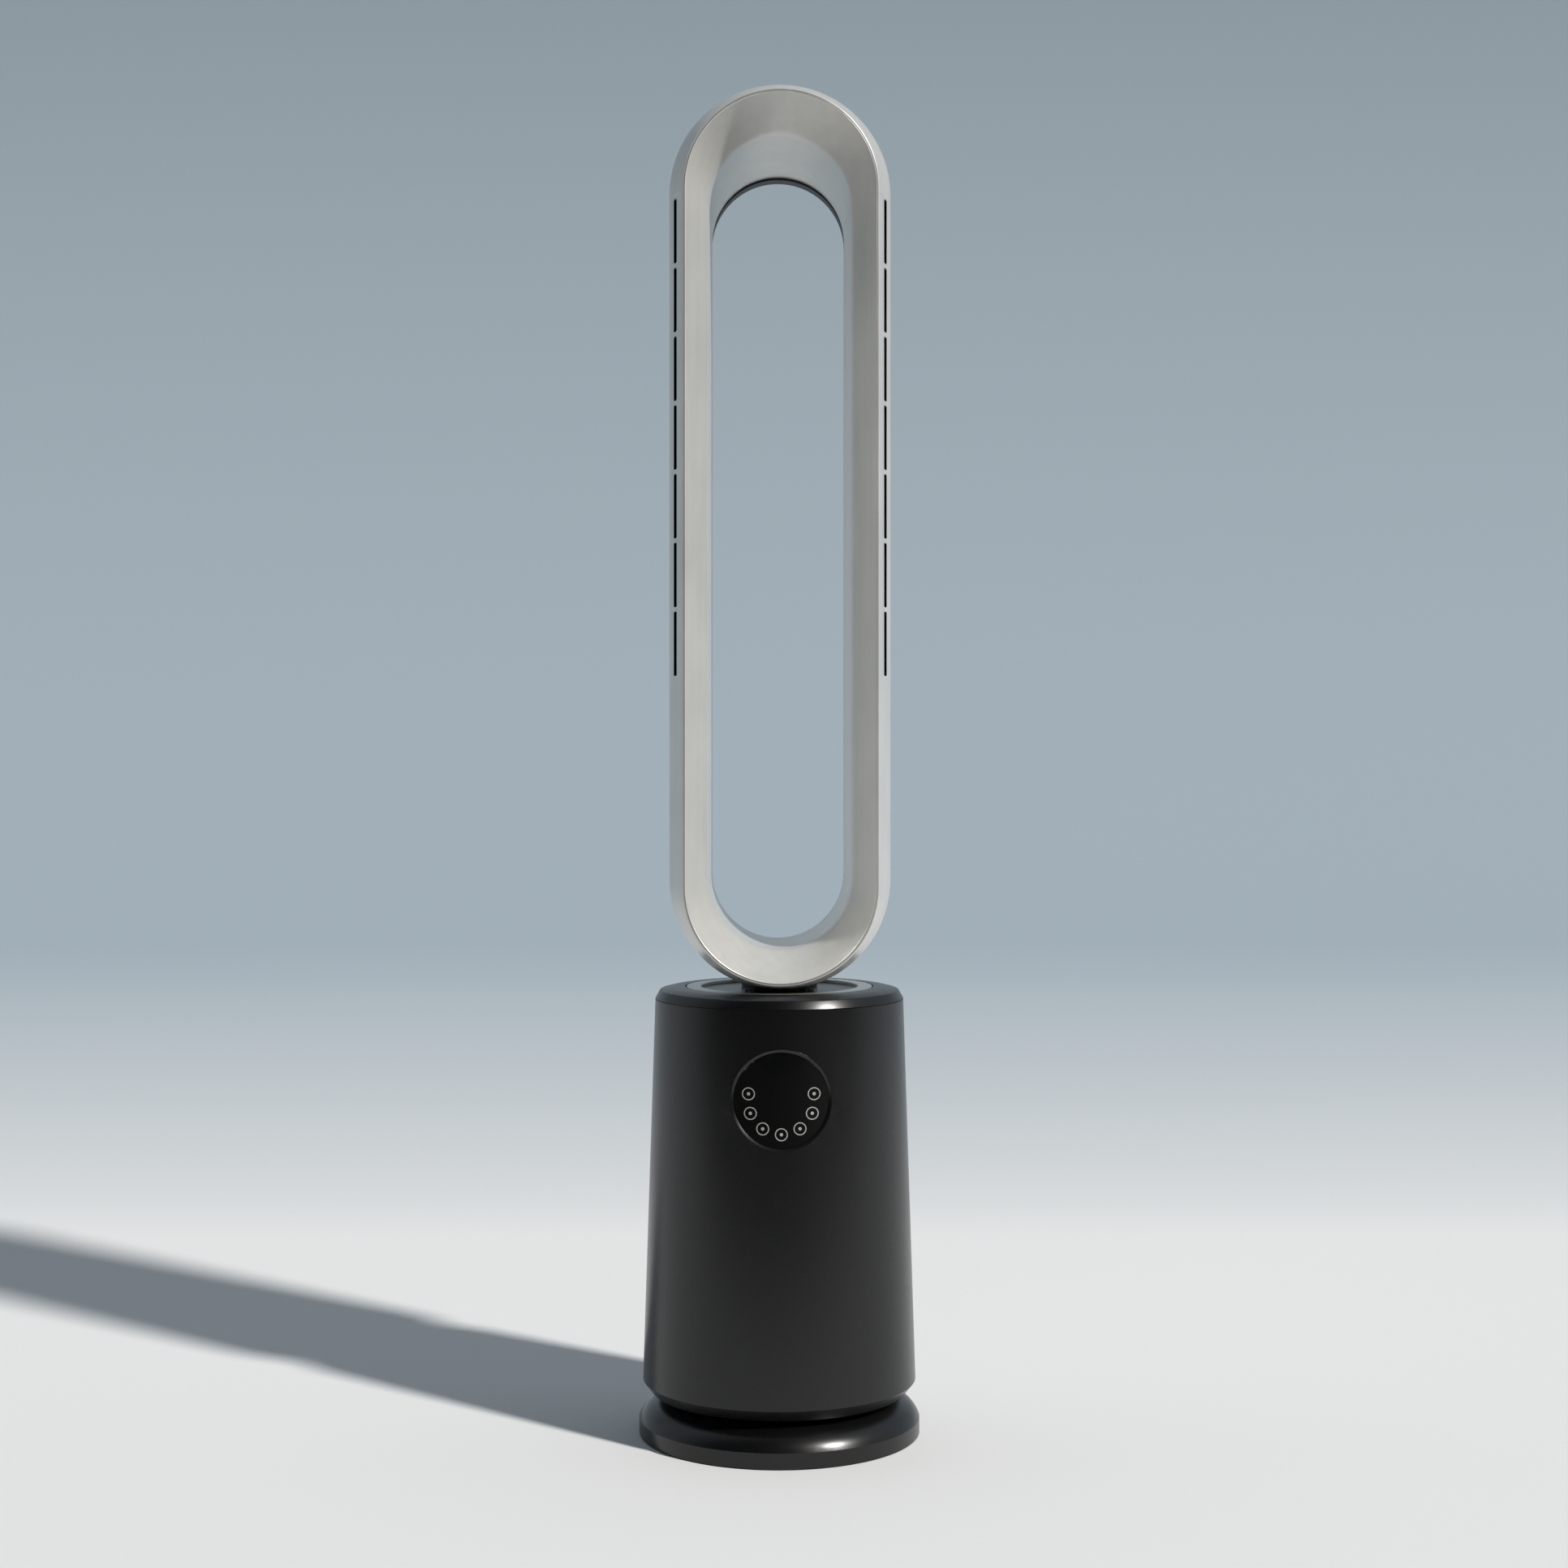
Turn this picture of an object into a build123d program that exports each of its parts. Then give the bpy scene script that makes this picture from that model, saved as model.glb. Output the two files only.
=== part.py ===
"""Bladeless tower fan: a tall racetrack air loop on a tapered tower that swivels on a round foot.

The floor is z = 0, +Z is up, and the front of the fan looks along -Y. All sizes are in millimetres.
"""

import os
from math import acos, cos, pi, radians, sin, sqrt, tan

from build123d import *

os.makedirs("parts", exist_ok=True)

# ---------------------------------------------------------------- driving dimensions
# Foot
foot_radius = 100.0
foot_rim_top = 11.5  # height of the crease between the upright rim and the crown
foot_flat_radius = 70.0  # where the crown runs out into a flat top
foot_crown_top = 27.5
foot_wall = 2.6
foot_skirt_z = 0.7  # the cover's lower edge, just clear of the floor
foot_pan_thickness = 2.6
foot_boss_radius = 4.5
foot_boss_circle = 34.0
foot_boss_count = 6
pad_height = 1.5  # how far the rubber pads stand below the foot
pad_sink = 1.0
pad_radius = 8.0
pad_circle = 84.0
pad_count = 6
ballast_thickness = 7.0
ballast_inner_radius = 42.0
ballast_outer_radius = 94.0
inlet_z = 7.6
inlet_radius = 3.2
inlet_bore = 2.3
inlet_pin_radius = 0.7
inlet_depth = 14.0
inlet_block = 12.0

# Tapered tower
tower_floor_gap = 3.5  # between the foot's crown and the tower's underside
tower_base_radius = 91.0  # at the underside
tower_low_radius = 97.2  # at the widest line
tower_high_radius = 88.5  # at the crease under the top deck
tower_low_z = 38.8
tower_high_z = 309.4
tower_wall = 2.6
chassis_thickness = 4.0
shell_boss_circle = 82.0
shell_boss_height = 14.0
shell_boss_count = 4

# Rear intake grille
grille_low_z = 72.0
grille_high_z = 288.0
grille_half_angle = 58.0
grille_columns = 25
grille_rows = 4
grille_slot_width = 3.2
grille_bridge = 4.0
grille_margin = 5.0
grille_flange = 4.0
grille_flange_wall = 1.6

# Top deck
deck_edge_radius = 85.2
deck_edge_z = 315.4
deck_dome = (77.5, 317.3)  # a point half way up the deck's dome, as (radius, height)
deck_top_z = 317.9  # where the domed deck meets the trim ring
deck_wall = 2.4
deck_spigot = 9.0
trim_outer_radius = 66.2
trim_inner_radius = 56.0
trim_gap = 0.9
trim_thickness = 2.4
dish_z = 315.8
dish_rim = 2.5

# Air loop: an upright racetrack, symmetric from left to right
loop_middle_z = 635.4
loop_half_straight = 239.9
loop_depth = 130.0
lip_radius = 65.7  # half width at the front lip
lip_straight = 241.7
lip_drop = 2.6  # how far the lip's middle lies below the loop's
shoulder_radius = 77.7  # half width at the widest line
shoulder_back = 30.0  # from the front lip to the widest line
rear_taper = ((32.6, 0.7), (67.4, 3.0), (100.0, 7.2))  # (behind the shoulder, narrower by)
loop_wall = 2.2
lip_land = 0.9  # the front shell's thickness at the lip
skin_edge = 1.1  # the outer shell's thickness at the lip
throat_front_radius = 50.1
throat_front_straight = 236.1
throat_front_drop = 3.0  # how far the throat's middle lies below the loop's
throat_front_y = -30.0
throat_rear_radius = 48.4
throat_rear_straight = 231.2
throat_rear_drop = 7.8
throat_rear_y = 52.0
rear_trim_radius = 48.8
rear_trim_straight = 230.5
rear_trim_drop = 9.1  # the trim shows as a dark crescent at the top only

# Outlet slots in the band beside the front lip
slot_count = 7
slot_length = 45.0
slot_width = 2.2
slot_bridge = 2.8
slot_middle_z = 703.5
slot_x = 73.1
nozzle_plate = 2.0
nozzle_depth = 17.0
nozzle_y = -37.0

# Neck between deck and loop
neck_radius = 27.0
neck_wall = 3.0
neck_foot_z = 289.0
neck_top_z = 335.0
neck_flange_radius = 38.0
neck_flange_thickness = 4.0
neck_lug_count = 3
neck_lug_reach = 3.5
neck_lug_width = 12.0
saddle_radius = 37.0
saddle_top_z = 331.0

# Control panel
panel_z = 248.0
bezel_radius = 35.0
bezel_width = 2.6
bezel_proud = 0.1
lens_sink = 0.9  # the lens lies below the tower's surface
lens_thickness = 2.2
bezel_inset = 24.0  # how deep the bezel's tube may reach behind the tower's surface
bezel_back = 72.0  # the bezel's rear face, in front of the tower's axis
bezel_ledge = 1.5  # thickness of the ledge that carries the board
bezel_ledge_width = 2.0
key_count = 7
key_circle = 22.8
key_pitch = 33.8  # degrees
key_radius = 4.4
key_proud = 0.15  # above the lens
key_travel = 0.8
key_flange_radius = 5.5
key_flange_thickness = 1.2
key_stem_radius = 1.6
key_switch_gap = 0.1  # left at full travel
board_thickness = 1.6
switch_side = 6.0
switch_height = 3.0

# Swivel drive
gear_module = 1.0
swivel_gear_teeth = 45
pinion_teeth = 15
gear_backlash = 0.24
gear_thickness = 6.0
post_radius = 14.0
post_step = 2.0
post_bore = 10.0
post_flange_radius = 26.0
post_flange_thickness = 4.0
post_screw_circle = 20.0
post_screw_count = 4
gear_nut_height = 4.0
gear_nut_width = 32.0  # across flats
bush_wall = 3.0
bush_flange = 3.5
bush_flange_thickness = 1.5
ball_radius = 2.0
ball_circle = 56.0
ball_count = 24
race_width = 12.0
race_sink = 1.0
race_thickness = 2.1
cage_width = 7.0
cage_thickness = 0.7
swivel_motor_radius = 24.0
swivel_motor_height = 18.0
bracket_thickness = 2.0
bracket_leg_radius = 3.5
bracket_leg_x = 29.0
bracket_leg_y = (12.0, 56.0)
pinion_shaft_radius = 2.5

# Blower
impeller_radius = 60.0
impeller_tip_gap = 1.6
impeller_low_z = 106.0
impeller_height = 38.0
impeller_hub_radius = 21.0
blade_count = 9
blade_thickness = 1.8
blade_lean = 38.0  # degrees
shaft_radius = 3.0
duct_wall = 2.2
duct_low_z = 100.0
duct_cone_z = 208.0
bell_height = 10.0
bell_throat_inset = 5.0
bell_flare = 9.0
duct_ear_circle = 78.0
duct_ear_radius = 7.0
duct_ear_thickness = 4.0
duct_ear_z = 118.0
grommet_height = 3.0
column_radius = 5.0
column_count = 3
motor_radius = 22.0
motor_height = 38.0
motor_low_z = 152.0
motor_wall = 2.0
rotor_radius = 13.0
bearing_radius = 8.0
bearing_width = 4.0
sleeve_wall = 1.8
diffuser_wall = 2.0
vane_count = 11
vane_thickness = 1.6
power_board_size = (62.0, 40.0)
power_board_y = -50.0

# Screws, all one size
screw_radius = 1.4
screw_head_radius = 2.8
screw_head_height = 1.8
screw_length = 12.0

# Clearances
seat_gap = 0.15  # between fixed pieces that seat in one another
screw_gap = 0.06  # around a screw's shank
moving_gap = 0.3  # between pieces that move past one another
running_gap = 0.04  # shafts in their bearings
seam = 0.3  # visible parting lines

# ---------------------------------------------------------------- derived places
chassis_z = foot_crown_top + tower_floor_gap
chassis_top_z = chassis_z + chassis_thickness
tower_slope = (tower_low_radius - tower_high_radius) / (tower_high_z - tower_low_z)
pan_top_z = pad_height + foot_pan_thickness
pan_radius = foot_radius - foot_wall - seat_gap
bush_top_z = chassis_top_z + bush_flange_thickness
gear_z = bush_top_z + moving_gap + 0.2
gear_top_z = gear_z + gear_thickness
bracket_z = gear_top_z + gear_nut_height + moving_gap
swivel_motor_z = bracket_z + bracket_thickness
pinion_y = gear_module * (swivel_gear_teeth + pinion_teeth) / 2
race_middle_z = chassis_z - tower_floor_gap / 2
duct_radius = impeller_radius + impeller_tip_gap
loop_front = -loop_depth / 2
loop_rear = loop_depth / 2
rear_radius = shoulder_radius - rear_taper[-1][1]
loop_low_z = loop_middle_z - loop_half_straight
slot_pitch = slot_length + slot_bridge
trim_low_z = deck_top_z - trim_thickness
neck_bore = neck_radius - neck_wall
grille_pitch = (2 * grille_half_angle - 6.0) / grille_columns
grille_row_height = (grille_high_z - grille_low_z - 2 * grille_margin + grille_bridge) / grille_rows


# ---------------------------------------------------------------- shared geometry
def tower_radius(z):
    """Outside radius of the tapered tower at height z."""
    return tower_low_radius - tower_slope * (z - tower_low_z)


def radial_plane(angle):
    """Upright plane through the Z axis: local x runs outward at that angle, local y runs up."""
    turn = radians(angle)
    return Plane(origin=(0, 0, 0), x_dir=(cos(turn), sin(turn), 0), z_dir=(sin(turn), -cos(turn), 0))


def tower_layer(z_low, z_high, outset, inset):
    """Corners, in a radial plane, of a layer that follows the tower's wall."""
    return [
        (tower_radius(z_low) + outset, z_low),
        (tower_radius(z_high) + outset, z_high),
        (tower_radius(z_high) - inset, z_high),
        (tower_radius(z_low) - inset, z_low),
    ]


def outline(*corners):
    """Fills a straight-sided outline in the current sketch."""
    Polygon(*corners, align=None)


def crown_line(inset):
    """Curve of the foot's crown, a given depth below its surface, from the rim's crease to the flat top."""
    height = foot_crown_top - inset - foot_rim_top
    run = foot_radius - inset - foot_flat_radius
    return Bezier(
        (foot_radius - inset, foot_rim_top),
        (foot_radius - inset - 0.22 * height, foot_rim_top + 0.56 * height),
        (foot_flat_radius + 0.6 * run, foot_crown_top - inset),
        (foot_flat_radius, foot_crown_top - inset),
    )


def flat_ring(z, outer, inner):
    """Flat ring at height z, ready to extrude."""
    with BuildSketch(Plane.XY.offset(z)) as ring:
        Circle(outer)
        Circle(inner, mode=Mode.SUBTRACT)
    return ring.sketch


def racetrack(y, half_width, half_straight, middle):
    """Upright racetrack outline at depth y, ready to extrude or loft."""
    with BuildSketch(Plane.XZ.offset(-y)) as track:
        with Locations((0, middle)):
            SlotCenterToCenter(2 * half_straight, 2 * half_width, rotation=90)
    return track.sketch


def lip_track(outset, back=0):
    """The air loop's outline at its front lip, or a little behind it."""
    return racetrack(loop_front + back, lip_radius + outset, lip_straight, loop_middle_z - lip_drop)


def throat_front_track(outset):
    """The air loop's opening where the flare meets the throat."""
    middle = loop_middle_z - throat_front_drop
    return racetrack(throat_front_y, throat_front_radius + outset, throat_front_straight, middle)


def throat_rear_track(outset):
    """The air loop's opening at the rear end of the throat."""
    middle = loop_middle_z - throat_rear_drop
    return racetrack(throat_rear_y, throat_rear_radius + outset, throat_rear_straight, middle)


def skin_body(inset):
    """Solid body inside the loop's outer skin, a given depth below its surface."""
    edge = skin_edge * (1 - inset / loop_wall)
    front = lip_track(lip_land + seat_gap + edge, seam)
    tracks = [
        racetrack(loop_front + shoulder_back + back, shoulder_radius - narrower - inset, loop_half_straight, loop_middle_z)
        for back, narrower in ((0, 0), *rear_taper)
    ]
    with BuildPart() as body:
        loft([front, tracks[0]], ruled=True)
        loft(tracks)
    return body.part


def spur_gear(teeth, first_tooth):
    """Involute spur gear outline around the sketch's origin, with one tooth at the first angle."""
    pitch_radius = gear_module * teeth / 2
    base_radius = pitch_radius * cos(radians(20))
    root_radius = pitch_radius - 1.1 * gear_module
    tip_radius = pitch_radius + 0.8 * gear_module

    def half_angle(radius):
        pressure = acos(min(1.0, base_radius / radius))
        involute = tan(pressure) - pressure
        at_pitch = (pi * gear_module / 2 - gear_backlash) / (2 * pitch_radius)
        return at_pitch + tan(radians(20)) - radians(20) - involute

    steps = [root_radius - 0.3, max(root_radius, base_radius), pitch_radius, tip_radius]
    flank = [(r * cos(half_angle(r)), r * sin(half_angle(r))) for r in steps]
    Circle(root_radius)
    with PolarLocations(0, teeth, start_angle=first_tooth):
        Polygon(*flank, *[(x, -y) for x, y in reversed(flank)], align=None)


def screw(top, length=screw_length, down=True):
    """Pan-head screw at the current locations: its shank starts at height top and runs down or up."""
    turn = 1 if down else -1
    for radius, size, start in (
        (screw_radius, length, top - turn * length / 2),
        (screw_head_radius, screw_head_height, top + turn * screw_head_height / 2),
    ):
        with Locations((0, 0, start)):
            Cylinder(radius, size)


# ================================================================ foot, which stands still
with BuildPart() as foot_cover:
    with BuildSketch(Plane.XZ):
        with BuildLine():
            outer = crown_line(0)
            inner = crown_line(foot_wall)
            hole = post_radius + seat_gap
            rim = foot_radius - foot_wall
            Polyline(outer @ 0, (foot_radius, foot_skirt_z), (rim, foot_skirt_z), inner @ 0)
            Polyline(outer @ 1, (hole, foot_crown_top), (hole, foot_crown_top - foot_wall), inner @ 1)
        make_face()
    revolve(axis=Axis.Z)
    extrude(flat_ring(foot_crown_top, ball_circle + race_width / 2 + seat_gap, ball_circle - race_width / 2 - seat_gap), amount=-race_sink, mode=Mode.SUBTRACT)
    with BuildSketch(Plane.XY.offset(pan_top_z)):
        with PolarLocations(foot_boss_circle, foot_boss_count):
            Circle(foot_boss_radius)
    extrude(amount=foot_crown_top - foot_wall - pan_top_z)
    with BuildSketch(Plane.XY.offset(pan_top_z)):
        with PolarLocations(foot_boss_circle, foot_boss_count):
            Circle(screw_radius + screw_gap)
    extrude(amount=screw_length, mode=Mode.SUBTRACT)
    with BuildSketch(Plane.XZ.offset(-foot_radius - 1)):
        with Locations((0, inlet_z)):
            Circle(inlet_radius + seat_gap)
    extrude(amount=foot_wall + 2, mode=Mode.SUBTRACT)
foot_cover.part.label = "foot_cover"
export_step(foot_cover.part, "parts/foot_cover.step")

with BuildPart() as foot_pan:
    with BuildSketch(Plane.XY.offset(pad_height)):
        Circle(pan_radius)
    extrude(amount=foot_pan_thickness)
    with BuildSketch(Plane.XY.offset(pad_height)):
        with PolarLocations(pad_circle, pad_count, start_angle=30):
            Circle(pad_radius + seat_gap)
    extrude(amount=pad_sink, mode=Mode.SUBTRACT)
    for circle, count in ((foot_boss_circle, foot_boss_count), (post_screw_circle, post_screw_count)):
        with BuildSketch(Plane.XY.offset(pad_height)):
            with PolarLocations(circle, count):
                Circle(screw_head_radius + seat_gap)
        extrude(amount=screw_head_height, mode=Mode.SUBTRACT)
        with BuildSketch(Plane.XY.offset(pad_height)):
            with PolarLocations(circle, count):
                Circle(screw_radius + screw_gap)
        extrude(amount=foot_pan_thickness, mode=Mode.SUBTRACT)
foot_pan.part.label = "foot_pan"
export_step(foot_pan.part, "parts/foot_pan.step")

with BuildPart() as foot_pads:
    with BuildSketch():
        with PolarLocations(pad_circle, pad_count, start_angle=30):
            Circle(pad_radius)
    extrude(amount=pad_height + pad_sink)
    chamfer(foot_pads.edges().group_by(Axis.Z)[0], 0.5)
foot_pads.part.label = "foot_pads"
export_step(foot_pads.part, "parts/foot_pads.step")

with BuildPart() as foot_ballast:
    extrude(flat_ring(pan_top_z, ballast_outer_radius, ballast_inner_radius), amount=ballast_thickness)
    with BuildSketch(Plane.XY.offset(pan_top_z)):
        with Locations((0, foot_radius)):
            Rectangle(inlet_block + 4, 2 * (foot_wall + inlet_depth + inlet_block + 2))
    extrude(amount=ballast_thickness, mode=Mode.SUBTRACT)
foot_ballast.part.label = "foot_ballast"
export_step(foot_ballast.part, "parts/foot_ballast.step")

with BuildPart() as foot_screws:
    for circle, count in ((foot_boss_circle, foot_boss_count), (post_screw_circle, post_screw_count)):
        with PolarLocations(circle, count):
            screw(pad_height + screw_head_height, length=screw_length - 4, down=False)
foot_screws.part.label = "foot_screws"
export_step(foot_screws.part, "parts/foot_screws.step")

with BuildPart() as power_inlet:
    with BuildSketch(Plane.XZ.offset(-foot_radius + 0.4)):
        with Locations((0, inlet_z)):
            Circle(inlet_radius)
    extrude(amount=inlet_depth)
    with BuildSketch(Plane.XZ.offset(-foot_radius + 0.4 + inlet_depth)):
        with Locations((0, (pan_top_z + inlet_z + inlet_radius + 1) / 2)):
            Rectangle(inlet_block, inlet_z + inlet_radius + 1 - pan_top_z)
    extrude(amount=inlet_block)
    with BuildSketch(Plane.XZ.offset(-foot_radius + 0.4)):
        with Locations((0, inlet_z)):
            Circle(inlet_bore)
            Circle(inlet_pin_radius, mode=Mode.SUBTRACT)
    extrude(amount=inlet_depth - 1, mode=Mode.SUBTRACT)
power_inlet.part.label = "power_inlet"
export_step(power_inlet.part, "parts/power_inlet.step")

with BuildPart() as swivel_post:
    with BuildSketch(Plane.XY.offset(pan_top_z)):
        Circle(post_flange_radius)
    extrude(amount=post_flange_thickness)
    with BuildSketch(Plane.XY.offset(pan_top_z)):
        Circle(post_radius)
    extrude(amount=gear_z - pan_top_z)
    with BuildSketch(Plane.XY.offset(gear_z)):
        Circle(post_radius - post_step)
    extrude(amount=gear_thickness + gear_nut_height)
    with BuildSketch(Plane.XY.offset(pan_top_z)):
        Circle(post_bore)
    extrude(amount=gear_top_z + gear_nut_height - pan_top_z, mode=Mode.SUBTRACT)
    with BuildSketch(Plane.XY.offset(pan_top_z)):
        with PolarLocations(post_screw_circle, post_screw_count):
            Circle(screw_radius + screw_gap)
    extrude(amount=post_flange_thickness, mode=Mode.SUBTRACT)
swivel_post.part.label = "swivel_post"
export_step(swivel_post.part, "parts/swivel_post.step")

with BuildPart() as swivel_gear:
    with BuildSketch(Plane.XY.offset(gear_z)):
        spur_gear(swivel_gear_teeth, 90)
        Circle(post_radius - post_step + screw_gap, mode=Mode.SUBTRACT)
    extrude(amount=gear_thickness)
swivel_gear.part.label = "swivel_gear"
export_step(swivel_gear.part, "parts/swivel_gear.step")

with BuildPart() as gear_nut:
    with BuildSketch(Plane.XY.offset(gear_top_z)):
        RegularPolygon(gear_nut_width / 2, 6, major_radius=False)
        Circle(post_radius - post_step + screw_gap, mode=Mode.SUBTRACT)
    extrude(amount=gear_nut_height)
gear_nut.part.label = "gear_nut"
export_step(gear_nut.part, "parts/gear_nut.step")


def race_profile(seat_z, direction):
    """Section of one bearing race: a flat bar whose groove takes the balls."""
    low, high = sorted((seat_z, seat_z + direction * race_thickness))
    outline(
        (ball_circle - race_width / 2, low),
        (ball_circle + race_width / 2, low),
        (ball_circle + race_width / 2, high),
        (ball_circle - race_width / 2, high),
    )
    with Locations((ball_circle, race_middle_z)):
        Circle(ball_radius + running_gap, mode=Mode.SUBTRACT)


with BuildPart() as lower_race:
    with BuildSketch(Plane.XZ):
        race_profile(foot_crown_top - race_sink, 1)
    revolve(axis=Axis.Z)
lower_race.part.label = "lower_race"
export_step(lower_race.part, "parts/lower_race.step")

with BuildPart() as swivel_balls:
    with Locations((0, 0, race_middle_z)):
        with PolarLocations(ball_circle, ball_count):
            Sphere(ball_radius)
swivel_balls.part.label = "swivel_balls"
export_step(swivel_balls.part, "parts/swivel_balls.step")

with BuildPart() as ball_cage:
    extrude(flat_ring(race_middle_z - cage_thickness / 2, ball_circle + cage_width / 2, ball_circle - cage_width / 2), amount=cage_thickness)
    with BuildSketch(Plane.XY.offset(race_middle_z - cage_thickness)):
        with PolarLocations(ball_circle, ball_count):
            Circle(ball_radius + seat_gap)
    extrude(amount=2 * cage_thickness, mode=Mode.SUBTRACT)
ball_cage.part.label = "ball_cage"
export_step(ball_cage.part, "parts/ball_cage.step")

# ================================================================ tower, which swivels on the foot
with BuildPart() as upper_race:
    with BuildSketch(Plane.XZ):
        race_profile(chassis_z + race_sink, -1)
    revolve(axis=Axis.Z)
upper_race.part.label = "upper_race"
export_step(upper_race.part, "parts/upper_race.step")

bracket_legs = [(x, y) for x in (-bracket_leg_x, bracket_leg_x) for y in bracket_leg_y]
board_x, board_y = power_board_size[0] / 2 - 4, power_board_size[1] / 2 - 4
board_legs = [(x, power_board_y + y) for x in (-board_x, board_x) for y in (-board_y, board_y)]
board_leg_height = 6.0
column_top_z = duct_ear_z - grommet_height

with BuildPart() as chassis:
    with BuildSketch(Plane.XY.offset(chassis_z)):
        Circle(tower_base_radius - tower_wall - seat_gap)
        Circle(post_radius + bush_wall + seat_gap, mode=Mode.SUBTRACT)
    extrude(amount=chassis_thickness)
    extrude(flat_ring(chassis_z, ball_circle + race_width / 2 + seat_gap, ball_circle - race_width / 2 - seat_gap), amount=race_sink, mode=Mode.SUBTRACT)
    with BuildSketch(Plane.XY.offset(chassis_top_z)):
        with PolarLocations(duct_ear_circle, column_count, start_angle=30):
            Circle(column_radius)
    extrude(amount=column_top_z - chassis_top_z)
    with BuildSketch(Plane.XY.offset(column_top_z)):
        with PolarLocations(duct_ear_circle, column_count, start_angle=30):
            Circle(screw_radius + screw_gap)
    extrude(amount=-screw_length, mode=Mode.SUBTRACT)
    with BuildSketch(Plane.XY.offset(chassis_top_z)):
        with Locations(*board_legs):
            Circle(bracket_leg_radius)
    extrude(amount=board_leg_height)
    with BuildSketch(Plane.XY.offset(chassis_top_z + board_leg_height)):
        with Locations(*board_legs):
            Circle(screw_radius + screw_gap)
    extrude(amount=-board_leg_height - 1, mode=Mode.SUBTRACT)
    with BuildSketch(Plane.XY.offset(chassis_z)):
        with PolarLocations(shell_boss_circle, shell_boss_count, start_angle=45):
            Circle(screw_head_radius + seat_gap)
    extrude(amount=screw_head_height, mode=Mode.SUBTRACT)
    with BuildSketch(Plane.XY.offset(chassis_z)):
        with PolarLocations(shell_boss_circle, shell_boss_count, start_angle=45):
            Circle(screw_radius + screw_gap)
        with Locations(*bracket_legs):
            Circle(screw_radius + screw_gap)
    extrude(amount=chassis_thickness, mode=Mode.SUBTRACT)
chassis.part.label = "chassis"
export_step(chassis.part, "parts/chassis.step")

with BuildPart() as swivel_bush:
    extrude(flat_ring(chassis_z, post_radius + bush_wall, post_radius + running_gap), amount=chassis_thickness)
    extrude(flat_ring(chassis_top_z, post_radius + bush_wall + bush_flange, post_radius + running_gap), amount=bush_flange_thickness)
swivel_bush.part.label = "swivel_bush"
export_step(swivel_bush.part, "parts/swivel_bush.step")

with BuildPart() as tower_shell:
    with BuildSketch(Plane.XZ):
        top_z = tower_high_z - seam
        outline(
            (tower_base_radius, chassis_z),
            (tower_low_radius, tower_low_z),
            (tower_radius(top_z), top_z),
            (tower_radius(top_z) - tower_wall, top_z),
            (tower_low_radius - tower_wall, tower_low_z),
            (tower_base_radius - tower_wall, chassis_z),
        )
    revolve(axis=Axis.Z)
    with BuildSketch(Plane.XY.offset(chassis_top_z)):
        with PolarLocations(shell_boss_circle, shell_boss_count, start_angle=45):
            Circle(foot_boss_radius)
    extrude(amount=shell_boss_height)
    for index in range(shell_boss_count):
        with BuildSketch(radial_plane(45 + index * 360 / shell_boss_count)):
            rib_top = chassis_top_z + shell_boss_height
            inside = tower_base_radius - tower_wall / 2
            outline(
                (shell_boss_circle, chassis_top_z),
                (inside, chassis_top_z),
                (tower_radius(tower_low_z) - tower_wall / 2, tower_low_z),
                (tower_radius(rib_top) - tower_wall / 2, rib_top),
                (shell_boss_circle, rib_top),
            )
        extrude(amount=1.2, both=True)
    with BuildSketch(Plane.XY.offset(chassis_top_z)):
        with PolarLocations(shell_boss_circle, shell_boss_count, start_angle=45):
            Circle(screw_radius + screw_gap)
    extrude(amount=screw_length, mode=Mode.SUBTRACT)
    with BuildSketch(Plane.XZ):
        with Locations((0, panel_z)):
            Circle(bezel_radius + seat_gap)
    extrude(amount=tower_low_radius + 10, mode=Mode.SUBTRACT)
    with BuildSketch(Plane.XY.offset(grille_low_z)):
        reach = 2 * tower_low_radius
        spread = radians(grille_half_angle)
        outline((0, 0), (reach * sin(spread), reach * cos(spread)), (-reach * sin(spread), reach * cos(spread)))
    extrude(amount=grille_high_z - grille_low_z, mode=Mode.SUBTRACT)
tower_shell.part.label = "tower_shell"
export_step(tower_shell.part, "parts/tower_shell.step")

with BuildPart() as intake_grille:
    flange_angle = grille_half_angle + 2.5
    with BuildSketch(radial_plane(90 - flange_angle)):
        outline(
            *tower_layer(
                grille_low_z - grille_flange,
                grille_high_z + grille_flange,
                -tower_wall - seam,
                tower_wall + seam + grille_flange_wall,
            )
        )
    revolve(axis=Axis.Z, revolution_arc=2 * flange_angle)
    panel_angle = grille_half_angle - 0.2
    with BuildSketch(radial_plane(90 - panel_angle)):
        outline(*tower_layer(grille_low_z + seam, grille_high_z - seam, 0, tower_wall + 1))
    revolve(axis=Axis.Z, revolution_arc=2 * panel_angle)
    for column in range(grille_columns):
        turn = radians(90 + (column - (grille_columns - 1) / 2) * grille_pitch)
        facing = Plane(origin=(0, 0, 0), x_dir=(-sin(turn), cos(turn), 0), z_dir=(cos(turn), sin(turn), 0))
        with BuildSketch(facing.offset(tower_high_radius - 12)):
            with Locations((0, (grille_low_z + grille_high_z) / 2)):
                with GridLocations(1, grille_row_height, 1, grille_rows):
                    SlotOverall(grille_row_height - grille_bridge, grille_slot_width, rotation=90)
        extrude(amount=30, mode=Mode.SUBTRACT)
intake_grille.part.label = "intake_grille"
export_step(intake_grille.part, "parts/intake_grille.step")

with BuildPart() as shell_screws:
    with PolarLocations(shell_boss_circle, shell_boss_count, start_angle=45):
        screw(chassis_z + screw_head_height, down=False)
shell_screws.part.label = "shell_screws"
export_step(shell_screws.part, "parts/shell_screws.step")

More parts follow.
